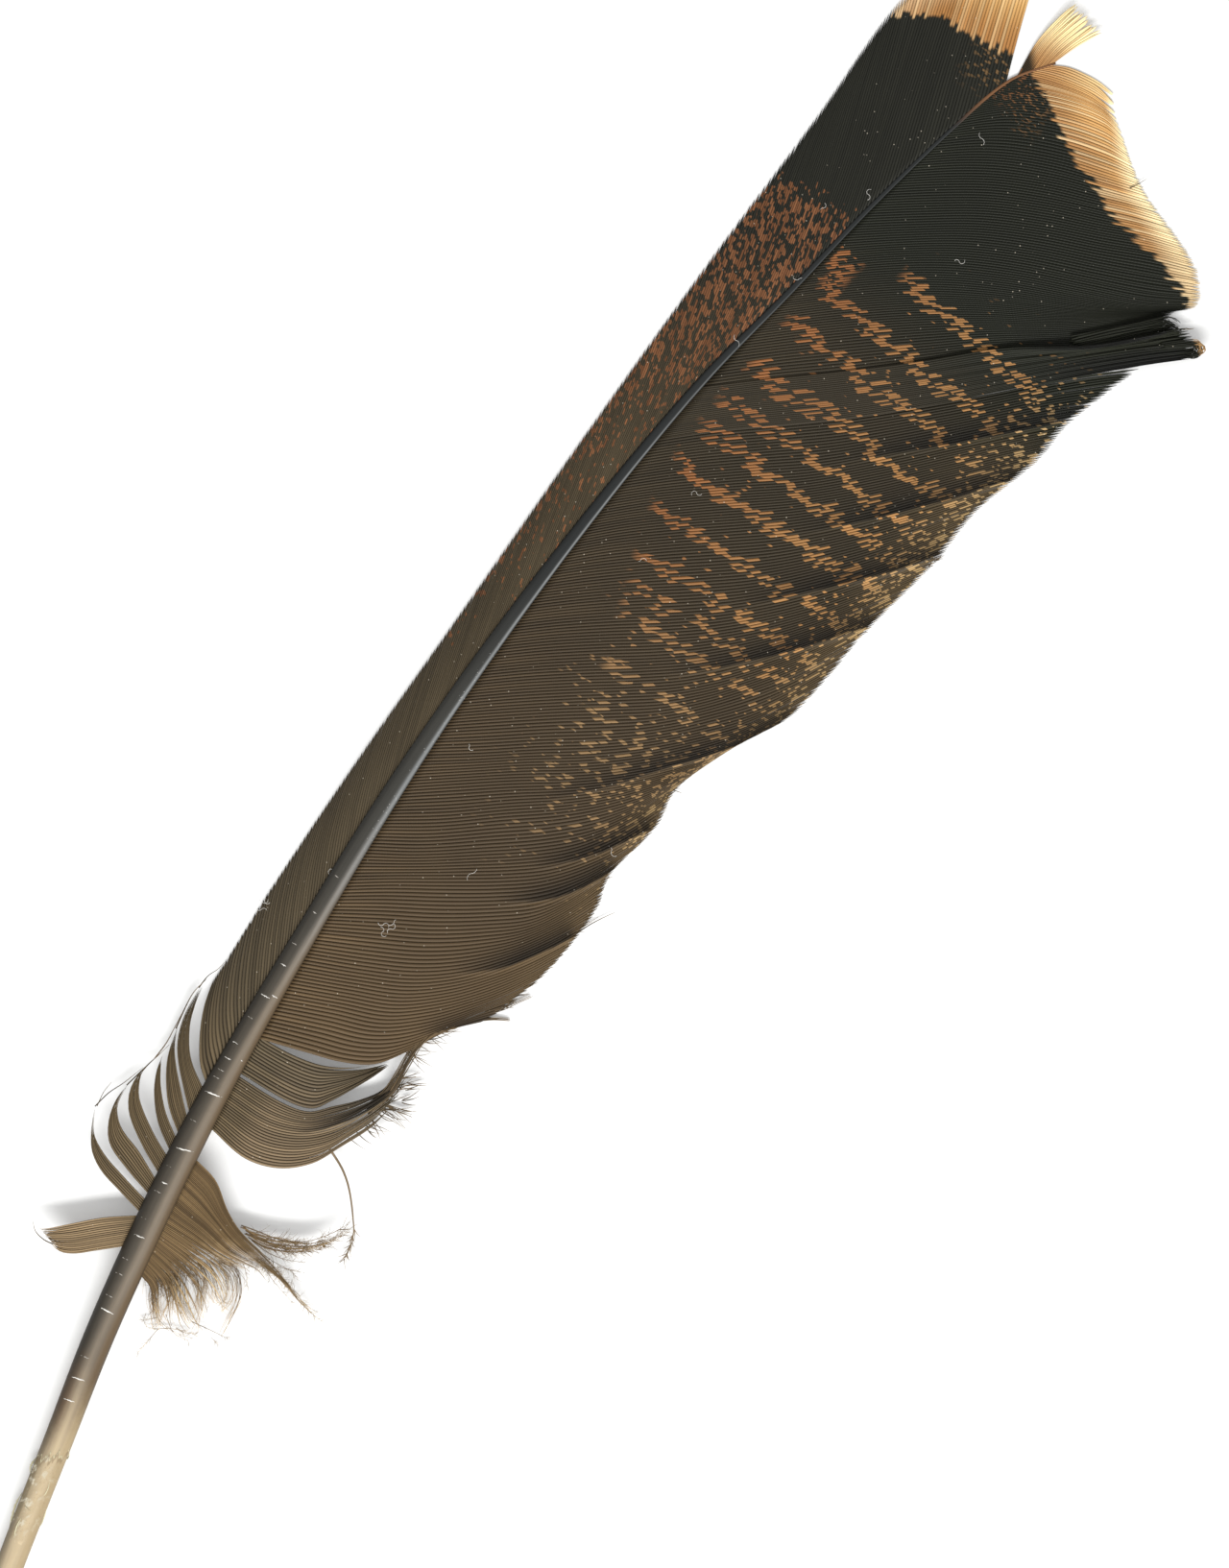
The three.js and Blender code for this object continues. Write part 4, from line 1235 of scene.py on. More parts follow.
def horn_colour(g, place, y, up, mottle):
    """The pigment along the shaft, with painted shade and painted light on its flanks, a painted
    highlight along it, its rim and belly.
    """
    wavy_y = g.plus(y, g.times(5.0, g.minus(mottle, 0.5)))
    colour = g.climb(wavy_y, CREAM_HORN, [(34, 48, TAN_HORN), (46, 60, QUILL_HORN),
                                          (110, 175, GREY_HORN), (175, 225, BLACK_HORN)])
    # Painted shade: the left flank is darkened towards its edge.
    left_edge_painted_shade = g.ramp(y, 120.0, 225.0, 0.5, 0.9)
    colour = g.scale(colour, g.ramp(place, -0.2, -1.0, 1.0, left_edge_painted_shade))
    # Painted light: the right flank is painted paler and warmer, as the lit side.
    painted_lit_flank = g.mix(g.ramp(wavy_y, 40.0, 54.0), CREAM_LIT_FLANK, WARM_LIT_FLANK)
    colour = g.mix(g.times(g.ramp(place, 0.2, 0.6), g.ramp(y, 170.0, 125.0)), colour, painted_lit_flank)
    # Painted highlight: a pale ridge of reflected light along the shaft.
    ridge = g.climb(wavy_y, CREAM_HIGHLIGHT, [(38, 58, QUILL_HIGHLIGHT), (120, 175, SLATE_HIGHLIGHT)])
    colour = g.mix(ridge_shine(g, place, y), colour, ridge)
    rim = g.times(g.ramp(place, 0.86, 1.0), g.ramp(y, 42.0, 56.0))
    colour = g.mix(g.times(0.4, rim), colour, BLACK_HORN)
    colour = g.mix(g.ramp(wavy_y, 319.0, 329.0), colour, END_HORN)
    belly = g.mix(g.ramp(y, 60.0, 300.0), BELLY_HORN, DARK_BELLY_HORN)
    return g.mix(g.ramp(up, 0.36, 0.2), colour, belly)


def horn_material():
    g = start_material("horn")
    across, y, up = g.facts("shaft")
    streaks = g.noise((across, 5.0), (y, 0.12), up, 3.0, 0.6)
    mottle = g.noise((across, 2.0), (y, 0.7), up, 3.0, 0.6)
    place = g.plus(across, g.times(0.1, g.minus(streaks, 0.5)))
    tone = g.times(g.plus(0.86, g.times(0.28, streaks)), g.plus(0.93, g.times(0.14, mottle)))
    colour = g.scale(horn_colour(g, place, y, up, mottle), tone)
    specks = g.times(g.ramp(g.cells((across, 5.0), (y, 1.5), up), 0.16, 0.1),
                     g.ramp(y, 150.0, 165.0), g.ramp(y, 205.0, 195.0), g.ramp(across, 0.2, 0.4))
    grain = g.plus(streaks, g.times(0.3, mottle))
    return finish_material(g, {
        "Base Color": g.mix(g.times(0.5, specks), colour, HORN_SPECK),
        "Roughness": g.plus(0.45, g.times(0.2, mottle)),
        "Specular IOR Level": 0.22, "Normal": g.bump(grain, 0.35, 0.0001),
    })


shaft.data.materials.append(horn_material())
keep(shaft, "quill", "shaft")

# %% [markdown]
# ## Nicks across the horn
# The horn is scored across by fine pale nicks. Each is a sliver of raised horn that follows the
# crown, and some are bright while others barely show.

# %% Nicks
NICKS = [  # y at its left end, y at its right end, from and to in mm across, brightness
    (48, 48.2, -2.2, 0.3, 0.8), (52, 52.2, -2.2, 0.6, 0.9), (56, 56, -1.9, -0.1, 0.3),
    (64.9, 64.7, -2.4, 0.9, 1.0), (67.3, 67.3, -2.1, -0.4, 0.3), (71.5, 71.5, -2.0, -0.4, 0.3),
    (74.3, 74.3, -2.1, -0.7, 0.3), (78.8, 78.9, -1.8, 0.4, 0.7), (82, 82, -1.9, -0.8, 0.2),
    (87.2, 87.2, -1.9, -0.5, 0.3), (89, 89.1, -1.4, -0.1, 0.9), (92, 92, -1.8, -0.8, 0.2),
    (95.4, 96.2, -1.9, 1.8, 0.9), (101, 101, -1.8, -0.5, 0.25), (106.5, 106.9, -1.9, 1.5, 1.0),
    (109.5, 109.5, -1.8, -0.5, 0.3), (111, 111, -1.7, -0.4, 0.3), (113.4, 113.4, -1.7, -0.3, 0.7),
    (114.2, 114.2, 1.1, 1.7, 0.6), (116.4, 116.4, -1.9, -0.6, 0.7), (121.5, 121.5, -1.7, -0.5, 0.3),
    (126, 126.1, -1.7, 0.3, 0.8), (126.8, 126.8, 0.3, 1.5, 0.8), (132.3, 132.4, -1.2, -0.1, 0.8),
    (136.5, 136.5, -1.4, -0.4, 0.3), (143, 143, -1.1, -0.2, 0.4), (150.4, 150.4, -1.0, -0.1, 0.25),
]
NICK_STEPS = 12
NICK_HALF_WIDTH = 0.17
NICK_HEIGHT = 0.07
NICK_SECTION = np.array([[-1, 0], [0, 1], [1, 0], [0, -1]])  # along the shaft, up


def scar_material():
    g, x, y, bright, _, _ = start_barb_material("scored horn")
    grain = g.noise((x, 3.0), (y, 3.0))
    share = g.times(bright, g.plus(0.55, g.times(0.8, grain)))
    colour = g.mix(share, srgb(104, 96, 86), HORN_SPECK)
    return finish_material(g, {"Base Color": colour, "Roughness": 0.6,
                               "Specular IOR Level": 0.3})


chance = np.random.default_rng(41)
slivers, brightness = [], []
for left_y, right_y, left, right, bright in NICKS:
    rings = []
    for share in np.linspace(0, 1, NICK_STEPS):
        swell = math.sin(math.pi * min(max(share, 0.04), 0.96)) ** 0.5
        swell *= chance.uniform(0.7, 1.2) * (0.55 + 0.45 * bright)
        middle = left_y + (right_y - left_y) * share + chance.uniform(-0.05, 0.05)
        half_width = shaft_at(middle)[1][0] / 2
        across = np.full(len(NICK_SECTION), (left + (right - left) * share) / half_width)
        rings.append(on_crown(middle + NICK_HALF_WIDTH * swell * NICK_SECTION[:, 0], across,
                              NICK_HEIGHT * swell * NICK_SECTION[:, 1]))
    slivers.append(to_frame(rings))
    brightness += [bright] * (NICK_STEPS * len(NICK_SECTION))
nicks = skin_object("shaft_nicks", slivers)
store_vector(nicks.data, "barb", [[b, 0, 0] for b in brightness])
nicks.data.materials.append(scar_material())
keep(nicks, "quill")

# %% [markdown]
# ## The torn sheath
# Near the foot the growing quill's papery sheath is left. It wrinkles over its whole length, and
# its upper edge is torn and curls up a little before it ends.

# %% Sheath
SHEATH_FROM, SHEATH_LEFT_EDGE, SHEATH_RIGHT_EDGE = 22.0, 37.0, 39.5
SHEATH_COLUMNS, SHEATH_ROWS = 60, 40
SHEATH_REACH = 0.97  # how far round each side it goes, as a share of the shaft's half width
SHEATH_LIFT, SHEATH_SUNK = 0.14, 0.08  # its outside above the horn and its inside below it

rings, facts = [], []
for share in np.linspace(0, 1, SHEATH_COLUMNS):
    across = -SHEATH_REACH + 2 * SHEATH_REACH * share
    torn = SHEATH_LEFT_EDGE + (SHEATH_RIGHT_EDGE - SHEATH_LEFT_EDGE) * share
    torn += 0.5 * math.sin(share * 21) + 0.35 * math.sin(share * 47 + 1) + chance.uniform(-0.3, 0.3)
    rows = torn - (torn - SHEATH_FROM) * np.linspace(1, 0, SHEATH_ROWS) ** 1.6
    curl = 0.03 * np.exp(-(torn - rows) / 0.7)
    wrinkle = 0.04 * np.sin(rows * 2.1 + share * 9) * np.sin(rows * 0.9 + share * 23)
    lift = SHEATH_LIFT * np.clip((rows - SHEATH_FROM) / 6, 0, 1) + curl + wrinkle
    lift = lift * (1 - 0.9 * np.exp(-(torn - rows) / 0.25))
    top = on_crown(rows, np.full(SHEATH_ROWS, across), lift)
    under = on_crown(rows[::-1], np.full(SHEATH_ROWS, across), -SHEATH_SUNK)
    rings.append(np.concatenate([top, under]))
    rim = np.exp(-(torn - rows) / 0.45)
    facts.append([[across, y, r] for y, r in zip([*rows, *rows[::-1]], [*rim, *rim[::-1]])])
sheath = skin_with_facts("sheath", rings, facts)


def sheath_material():
    g = start_material("papery sheath")
    x, y = drawing_axes(g)
    across, _, rim = g.facts("shaft")
    grain = g.noise((x, 0.9), (y, 0.5), 0.0, 4.0, 0.65)
    fine = g.noise((x, 3.0), (y, 3.0), 5.0)
    # Painted shade darkens the sheath's left side, and its right side and ridge get painted light
    # and a painted highlight.
    body = g.mix(g.ramp(across, -1.0, -0.2), SHADED_CREAM, CREAM_HORN)
    body = g.mix(g.ramp(across, 0.2, 0.6), body, CREAM_LIT_FLANK)
    body = g.mix(ridge_shine(g, across, SHEATH_FROM), body, CREAM_HIGHLIGHT)
    flaking = g.times(g.ramp(grain, 0.52, 0.66), g.ramp(across, 0.4, -0.2, 0.3, 0.9))
    colour = g.mix(flaking, body, srgb(169, 162, 143))
    colour = g.mix(g.ramp(fine, 0.6, 0.72, 0.0, 0.5), colour, srgb(120, 101, 75))
    # Painted shadow in a band just under the torn rim.
    painted_rim_shadow = g.times(g.ramp(rim, 0.02, 0.12), g.ramp(rim, 0.45, 0.25))
    colour = g.mix(g.times(0.45, painted_rim_shadow), colour, srgb(90, 73, 49))
    colour = g.mix(g.ramp(rim, 0.4, 0.7), colour, srgb(179, 173, 144))
    return finish_material(g, {"Base Color": colour, "Roughness": 0.6, "Specular IOR Level": 0.2,
                               "Normal": g.bump(grain, 0.6, 0.0002)})


papery = sheath_material()
sheath.data.materials.append(papery)
keep(sheath, "quill")

# %% [markdown]
# ## Flakes of the sheath
# Small flakes of the sheath have come loose, rolled up and stand off the shaft's edges.

# %% Flakes
FLAKES = [  # places of curled sheath flakes: (y, across from -1 to 1, mm above the crown), size
    ([(24.0, -1.02, -0.2), (26.0, -1.1, 0.1), (28.0, -1.16, 0.0), (30.2, -1.04, -0.2)], 0.24),
    ([(28.2, -1.0, 0.0), (28.4, -0.5, 0.2), (28.0, 0.0, 0.15), (28.2, 0.3, 0.1)], 0.12),
    ([(33.8, -1.02, -0.2), (35.0, -1.14, 0.0), (36.6, -1.03, -0.2)], 0.22),
    ([(25.0, 0.9, -0.1), (27.2, 1.04, 0.0), (29.8, 0.94, -0.1)], 0.16),
    ([(38.0, 0.86, 0.0), (38.8, 1.06, 0.0), (39.8, 0.98, -0.2)], 0.16),
    ([(31.0, 0.5, 0.1), (32.6, 0.58, 0.2), (34.0, 0.5, 0.1)], 0.1),
    ([(22.6, -0.4, 0.1), (24.8, -0.5, 0.2), (26.4, -0.42, 0.1)], 0.12),
]


def flake(places, size, steps=16):
    """A curled flake of sheath: a flattened, lumpy roll along a few places on the shaft."""
    points = [on_crown(np.array([y]), np.array([across]), lift)[0] for y, across, lift in places]
    path = along_path(points, steps)
    swell = np.sin(np.pi * np.linspace(0.04, 0.96, steps)) * chance.uniform(0.6, 1.2, steps)
    turns = turns_round(8)
    ring = np.stack([np.cos(turns), 0.3 * np.sin(turns), 0.5 * np.sin(turns)], axis=-1)
    return path[:, None] + size * swell[:, None, None] * ring


flakes = skin_object("sheath_flakes", [to_frame(flake(*plan)) for plan in FLAKES])
store_vector(flakes.data, "shaft", [[0.0, 30.0, 1.0]] * len(flakes.data.vertices))
flakes.data.materials.append(papery)
keep(flakes, "quill")

# %% [markdown]
# ## Drawing single hairs
# A few barbs have left their webs and run alone, and many more fine ends stick out past the
# edges. Each is a thin round hair along a drawn path. Heights are in millimetres above the
# surface that the feather lies on.

# %% Hair makers
HAIR_SIDES = 5


def hair(path, radius, end=0.25, steps=14):
    """Rings of a round hair along a path of (x, y, z), thinning to the share end of radius."""
    points = along_path(path, steps)
    ahead = np.gradient(points, axis=0)
    ahead /= np.linalg.norm(ahead, axis=1)[:, None]
    side = np.cross(ahead, [0, 0, 1])
    side /= np.linalg.norm(side, axis=1)[:, None]
    up = np.cross(side, ahead)
    radii = radius * (1 - (1 - end) * np.linspace(0, 1, steps) ** 1.5)
    turns = turns_round(HAIR_SIDES)
    return (points[:, None] + radii[:, None, None]
            * (np.cos(turns)[:, None] * side[:, None] + np.sin(turns)[:, None] * up[:, None]))


def hair_piece(name, hairs, material, seed):
    """One piece made of many hairs, each with its own chance number."""
    chance = np.random.default_rng(seed)
    facts = []
    for rings in hairs:
        count, size = len(rings), len(rings[0])
        own = chance.uniform()
        across = 0.3 * np.sin(turns_round(size))
        out = np.repeat(np.linspace(0, 1, count), size)
        facts.append(np.stack([np.full(count * size, own), out, np.tile(across, count)], axis=-1))
    piece = skin_object(name, [to_frame(rings) for rings in hairs])
    store_vector(piece.data, "barb", np.concatenate(facts))
    piece.data.materials.append(material)
    return piece


def frayed(path, radius, chance, count, start, length, spread):
    """A hair with fine barbules branching off it beyond the share start of its length."""
    keys = distances(path)
    hairs = [hair(path, radius, steps=24)]
    for share in chance.uniform(start, 1.0, count):
        here = smooth(keys, path, share * keys[-1])[0]
        ahead = smooth(keys, path, min(share + 0.03, 1.0) * keys[-1])[0] - here
        if np.linalg.norm(ahead) < 1e-6:
            continue
        heading = math.atan2(ahead[1], ahead[0]) + chance.choice([-1, 1]) * chance.uniform(*spread)
        reach = length * chance.uniform(0.5, 1.0)
        bend = chance.uniform(-0.5, 0.5)
        steps = [here]
        for _ in range(3):
            heading += bend * 0.4
            steps.append(steps[-1] + [math.cos(heading) * reach / 3, math.sin(heading) * reach / 3,
                                      chance.uniform(-0.1, 0.1)])
        hairs.append(hair(steps, radius * 0.35, steps=6))
    return hairs


def turned(step, angle):
    """A step over the flat, turned by an angle."""
    return np.array([step[0] * math.cos(angle) - step[1] * math.sin(angle),
                     step[0] * math.sin(angle) + step[1] * math.cos(angle)])


print("hair makers ready")

# %% [markdown]
# ## Two strands on their own
# One barb arches out of the loose flap, with barbules left on its outer half only. The downy
# branch is nine strands side by side, each as long as chance will have it.

# %% Stray barb and downy branch
BRANCH_STRANDS = 9
BRANCH_STRAY = 0.18  # how far its strands stray from their even places, in mm

chance = np.random.default_rng(7)
stray = frayed([STRAY_BARB_ROOT, *STRAY_BARB_PATH], 0.24, chance, count=26, start=0.72,
               length=2.2, spread=(0.2, 0.6))
stray_piece = hair_piece("stray_barb_strand", stray, narrow, 1)
keep(stray_piece, "brown_barbs", "stray_barb")

branch = []
low_line, high_line = (np.array(line) for line in DOWNY_BRANCH)
for share in np.linspace(0, 1, BRANCH_STRANDS):
    flat = low_line * (1 - share) + high_line * share
    flat = flat + chance.normal(0, BRANCH_STRAY, flat.shape)
    heights = np.linspace(*DOWNY_BRANCH_HEIGHTS, len(flat))
    path = np.column_stack([flat, heights])
    path = path[:int(chance.integers(4, 7))]
    branch += frayed(path, 0.11, chance, count=34, start=0.15, length=2.4, spread=(0.2, 0.7))
branch_piece = hair_piece("downy_branch_strands", branch, downy, 2)
keep(branch_piece, "down", "downy_branch")

# %% [markdown]
# ## Loose ends past the edges
# Single ends, fringes and gathered bundles stand out past the webs. Each hair is led by a drawn
# path or heading and strays from it by chance.

# %% Where the loose ends are
EDGE_HAIRS = [  # paths of (x, y, z) of single ends that stick out past the webs, and their radius
    ([[-35.9, 93.2, 1.9], [-35.2, 96.5, 1.9], [-33.9, 99.6, 1.9], [-32.6, 103.6, 1.8]], 0.08),
    ([[-33.3, 99.4, 1.9], [-32.4, 103.5, 1.9], [-31.4, 107.5, 1.8], [-31.0, 109.4, 1.7]], 0.09),
    ([[-31.8, 106.0, 1.8], [-31.6, 109.4, 1.8], [-31.9, 112.6, 1.7], [-32.2, 115.4, 1.6]], 0.09),
    ([[-31.6, 112.4, 1.5], [-32.3, 116.6, 1.5], [-32.5, 119.6, 1.5], [-31.9, 122.6, 1.4]], 0.1),
    ([[-32.2, 120.6, 1.3], [-32.0, 123.2, 1.3], [-31.2, 125.2, 1.2], [-30.9, 126.8, 1.1]], 0.08),
    ([[-35.6, 93.4, 2.0], [-36.0, 96.2, 1.9], [-35.8, 98.4, 1.9]], 0.06),
    ([[-28.6, 69.2, 4.6], [-30.4, 69.0, 4.8], [-32.4, 69.4, 4.6], [-33.8, 70.6, 4.4]], 0.09),
    ([[16.9, 162.5, 0.6], [18.7, 167.2, 0.6], [20.2, 170.0, 0.5], [21.4, 171.9, 0.5]], 0.1),
    ([[16.2, 161.5, 0.6], [17.9, 166.0, 0.6], [19.4, 169.6, 0.5]], 0.07),
    ([[26.6, 327.8, 0.5], [27.4, 329.2, 0.5], [28.2, 330.9, 0.5]], 0.06),
]
FRINGE = [  # where a fringe starts and ends, which way it points, how many hairs and how long
    ([6.9, 119.0, 1.2], [7.4, 122.0, 1.0], [5.4, 1.2], 14, 4.6),
    ([6.6, 121.6, 1.0], [6.2, 127.4, 0.9], [3.4, 3.4], 18, 4.2),
    ([5.0, 112.6, 1.6], [7.0, 118.0, 1.3], [4.0, -0.6], 10, 3.4),
    ([10.0, 120.4, 0.9], [8.2, 128.0, 0.8], [2.0, 1.8], 8, 3.0),
    ([46.4, 311.0, 1.2], [49.0, 313.0, 1.2], [1.6, 1.6], 6, 1.0),
    ([50.6, 309.2, 1.2], [51.6, 311.6, 1.4], [2.0, -0.6], 6, 1.2),
    ([5.4, 130.6, 2.0], [7.0, 137.4, 2.0], [2.6, 0.6], 16, 4.2),
    ([14.4, 146.6, 0.4], [17.3, 162.0, 0.4], [2.0, 2.9], 34, 2.2),
    ([17.6, 165.0, 0.4], [16.4, 176.0, 0.4], [2.0, 2.9], 14, 1.7),
    ([18.4, 188.6, 0.4], [17.9, 195.6, 0.4], [2.0, 2.9], 10, 1.7),
    ([24.6, 212.4, 0.4], [27.0, 216.2, 0.4], [2.0, 2.9], 8, 1.5),
    ([29.4, 234.6, 0.4], [30.8, 238.0, 0.4], [2.0, 2.9], 8, 1.3),
    ([33.6, 252.4, 0.4], [34.6, 255.4, 0.4], [2.0, 2.9], 8, 1.2),
]
BUNDLES = [  # path of (x, y, z) of a gathered bundle, hairs, how far they stray, radius, dark
    ([[8.8, 140.6, 0.7], [11.4, 142.6, 0.6], [14.0, 144.6, 0.5], [16.3, 145.9, 0.4]],
     14, 0.14, 0.1, False),
    ([[12.4, 144.6, 0.6], [14.4, 147.2, 0.5], [16.0, 149.6, 0.4], [17.3, 151.5, 0.4]],
     7, 0.2, 0.08, False),
    ([[4.3, 119.2, 2.0], [5.7, 123.5, 2.0], [5.6, 127.5, 2.1], [5.3, 130.7, 2.3],
      [5.4, 134.2, 2.4], [6.4, 136.8, 2.3], [9.2, 139.6, 2.0]], 22, 0.42, 0.13, False),
    ([[46.6, 307.6, 1.8], [49.6, 310.0, 2.0], [51.8, 311.5, 2.1], [52.7, 310.9, 2.0],
      [52.3, 309.5, 1.9], [50.8, 308.6, 1.8]], 34, 0.34, 0.15, True),
    ([[33.6, 299.8, 1.4], [38.4, 304.8, 1.3], [42.8, 309.4, 1.3], [45.2, 311.6, 1.4],
      [46.8, 311.7, 1.3]], 46, 0.55, 0.17, True),
    ([[35.0, 300.0, 1.2], [39.4, 304.8, 1.1], [43.4, 308.6, 1.1], [46.4, 311.0, 1.2]],
     40, 0.5, 0.17, True),
    ([[46.0, 305.4, 1.6], [48.6, 307.6, 1.7], [50.6, 309.2, 1.7], [52.0, 310.4, 1.7]],
     44, 0.42, 0.16, True),
]
THICKER = 1.4  # edge hairs are drawn this much thicker than listed
print(len(EDGE_HAIRS), "single ends,", len(FRINGE), "fringes,", len(BUNDLES), "bundles")

# %% [markdown]
# ## Growing the loose ends
# Bundles come first and then the fringes, whose hairs each turn and curl a little. The dark
# bundles belong to the turned tuft and the rest to the webs' brown edges.

# %% Edge hairs


def loose_end_material():
    """Loose ends: dark brown where they leave a web and a little paler at the tips."""
    g, x, y, chance, out, across = start_barb_material("loose ends")
    brown = g.mix(chance, srgb(58, 50, 38), srgb(96, 80, 58))
    colour = g.mix(g.ramp(out, 0.4, 1.0, 0.0, 0.5), brown, srgb(140, 116, 82))
    return barb_surface(g, colour, across, chance, x, y, depth=0.3, gloss=0.7)


hairs, dark_hairs = [hair(path, radius * THICKER) for path, radius in EDGE_HAIRS], []
for bundle, count, stray_by, radius, dark in BUNDLES:
    for _ in range(count):
        path = np.array(bundle) + chance.normal(0, stray_by, 3) * [1, 1, 0.4]
        path += chance.normal(0, stray_by * 0.25, path.shape) * [1, 1, 0.3]
        strand = hair(path, radius * chance.uniform(0.7, 1.2), steps=18)
        (dark_hairs if dark else hairs).append(strand)
for start, end, heading, count, length in FRINGE:
    for share in np.sort(chance.uniform(0, 1, count)):
        here = np.array(start) * (1 - share) + np.array(end) * share
        turn = chance.normal(0, 0.35)
        reach = length * chance.uniform(0.5, 1.1) / np.linalg.norm(heading)
        step = turned(heading, turn) * reach / 3
        curl = chance.uniform(-0.5, 0.7)
        path = [here - [*step, 0]]
        for i in range(4):
            path.append(path[-1] + [*turned(step, curl * i * 0.35), 0.04])
        hairs.append(hair(path, chance.uniform(0.07, 0.12), steps=9))
tuft_ends = hair_piece("tuft_end_hairs", dark_hairs, broad, 6)
keep(tuft_ends, "black_barbs")
edge_piece = hair_piece("edge_hairs", hairs, loose_end_material(), 3)
keep(edge_piece, "brown_barbs")

# %% [markdown]
# ## Long downy hairs
# The longest downy hairs are drawn one by one, and each carries fine barbules of its own.

# %% Down wisps
DOWN_WISPS = [  # paths of (x, y, z), radius
    ([[6.0, 86.6, 1.8], [9.8, 85.4, 1.7], [13.4, 84.3, 1.5], [18.4, 83.6, 1.4]], 0.11),
    ([[5.0, 87.2, 1.8], [9.2, 86.0, 1.7], [12.4, 84.9, 1.5], [16.4, 84.4, 1.4]], 0.09),
    ([[6.6, 87.6, 1.9], [9.0, 88.1, 1.9], [10.6, 87.4, 1.8]], 0.05),
    ([[0.0, 88.8, 2.2], [3.6, 88.6, 2.2], [7.2, 89.4, 2.2], [10.0, 90.8, 2.1]], 0.08),
    ([[1.0, 88.2, 2.2], [4.6, 87.8, 2.2], [8.4, 88.2, 2.1], [11.0, 89.2, 2.0]], 0.07),
    ([[-1.0, 89.4, 2.4], [2.6, 90.0, 2.4], [6.4, 91.0, 2.4], [9.4, 93.0, 2.3]], 0.1),
    ([[0.4, 89.8, 2.5], [4.2, 90.6, 2.5], [8.0, 92.4, 2.4], [10.8, 95.4, 2.4]], 0.1),
    ([[-0.6, 89.9, 2.5], [2.8, 90.9, 2.5], [6.8, 92.0, 2.4], [10.0, 94.4, 2.4]], 0.1),
    ([[4.2, 86.0, 1.8], [8.2, 84.6, 1.6], [12.2, 83.6, 1.4]], 0.05),
    ([[1.0, 84.6, 1.9], [2.6, 83.2, 1.7], [4.0, 81.2, 1.5]], 0.05),
    ([[3.0, 86.4, 1.9], [5.2, 86.0, 1.8], [6.6, 84.4, 1.6]], 0.05),
    ([[-2.6, 68.6, 1.0], [-0.6, 68.8, 1.0], [1.2, 69.8, 0.9]], 0.05),
    ([[-6.2, 68.4, 1.0], [-7.4, 67.2, 0.9], [-8.4, 66.3, 0.8]], 0.05),
    ([[-5.1, 66.7, 0.8], [-5.4, 64.2, 0.7], [-5.8, 60.9, 0.6]], 0.06),
    ([[-5.8, 66.2, 0.8], [-3.0, 68.1, 0.8], [0.7, 69.5, 0.7]], 0.06),
    ([[-0.9, 71.0, 0.8], [2.8, 71.6, 0.8], [6.5, 72.1, 0.7]], 0.07),
    ([[3.5, 70.6, 0.7], [5.2, 70.2, 0.7]], 0.04),
    ([[-8.4, 67.8, 0.8], [-8.0, 66.5, 0.7], [-6.6, 65.9, 0.7], [-5.6, 66.6, 0.8]], 0.04),
    ([[-9.0, 70.4, 1.2], [-6.0, 68.2, 1.1], [-2.8, 67.8, 1.0], [1.0, 68.6, 0.9]], 0.05),
    ([[-5.4, 69.6, 1.2], [-2.4, 67.6, 1.0], [0.2, 67.8, 0.9], [2.0, 66.6, 0.8]], 0.05),
]
wisps = []
for path, radius in DOWN_WISPS:
    wisps += frayed(path, radius, chance, count=20, start=0.25, length=1.5, spread=(0.3, 0.9))
print(len(wisps), "hairs and barbules")

# %% [markdown]
# ## The tuft at the foot
# The tuft's hairs gather into a few strands. Each strand is a drawn path with many thin hairs
# around it, and a loose veil of finer hairs lies between the strands.

# %% Tuft hairs
TUFT_STRANDS = [  # paths of (x, y) of the strands that the tuft's hairs gather into
    [[-12.3, 74.6], [-10.0, 72.6], [-7.8, 69.7], [-5.3, 67.3], [-4.5, 65.8]],
    [[-11.6, 75.0], [-9.8, 73.4], [-8.7, 70.6], [-6.5, 68.5], [-6.4, 66.3]],
    [[-9.5, 76.0], [-7.2, 74.1], [-6.2, 71.8], [-5.1, 69.4], [-3.7, 68.4]],
    [[-7.8, 77.8], [-6.2, 74.8], [-4.4, 72.5], [-2.1, 71.4], [-0.3, 70.9]],
    [[-6.8, 78.6], [-4.0, 77.2], [-2.3, 75.4], [-1.0, 73.1], [-0.3, 70.6]],
    [[-5.6, 79.9], [-2.8, 78.1], [-1.5, 75.8], [-0.7, 73.8], [0.1, 73.0]],
    [[-4.5, 81.0], [-2.2, 79.9], [-0.3, 77.7], [1.6, 76.4], [3.2, 77.0]],
    [[-3.3, 82.3], [-0.5, 81.6], [1.2, 79.7], [2.2, 77.8], [2.2, 75.5]],
    [[-2.6, 82.7], [0.3, 82.6], [2.6, 80.6], [4.0, 77.5], [4.3, 74.6], [4.8, 72.4]],
    [[-10.8, 75.2], [-8.8, 74.6], [-6.6, 73.5], [-3.0, 71.9], [-1.9, 71.0]],
]
HAIRS_A_STRAND = 11
STRAND_SPREAD = (0.6, 0.5)  # how far hairs stray from their strand at its root and its end, in mm
VEIL_HAIRS = 120  # hairs between the strands


def wavy(path, spread, strength):
    """The path with a drift and a wave of its own, both chosen by chance."""
    path = np.array(path, float)
    share = np.linspace(0, 1, len(path))[:, None]
    drift = chance.normal(0, 1, 2) * (spread[0] * (1 - share) + spread[1] * share)
    bends = chance.normal(0, strength, path.shape) * np.minimum(1, share * 3)
    return path + drift + bends


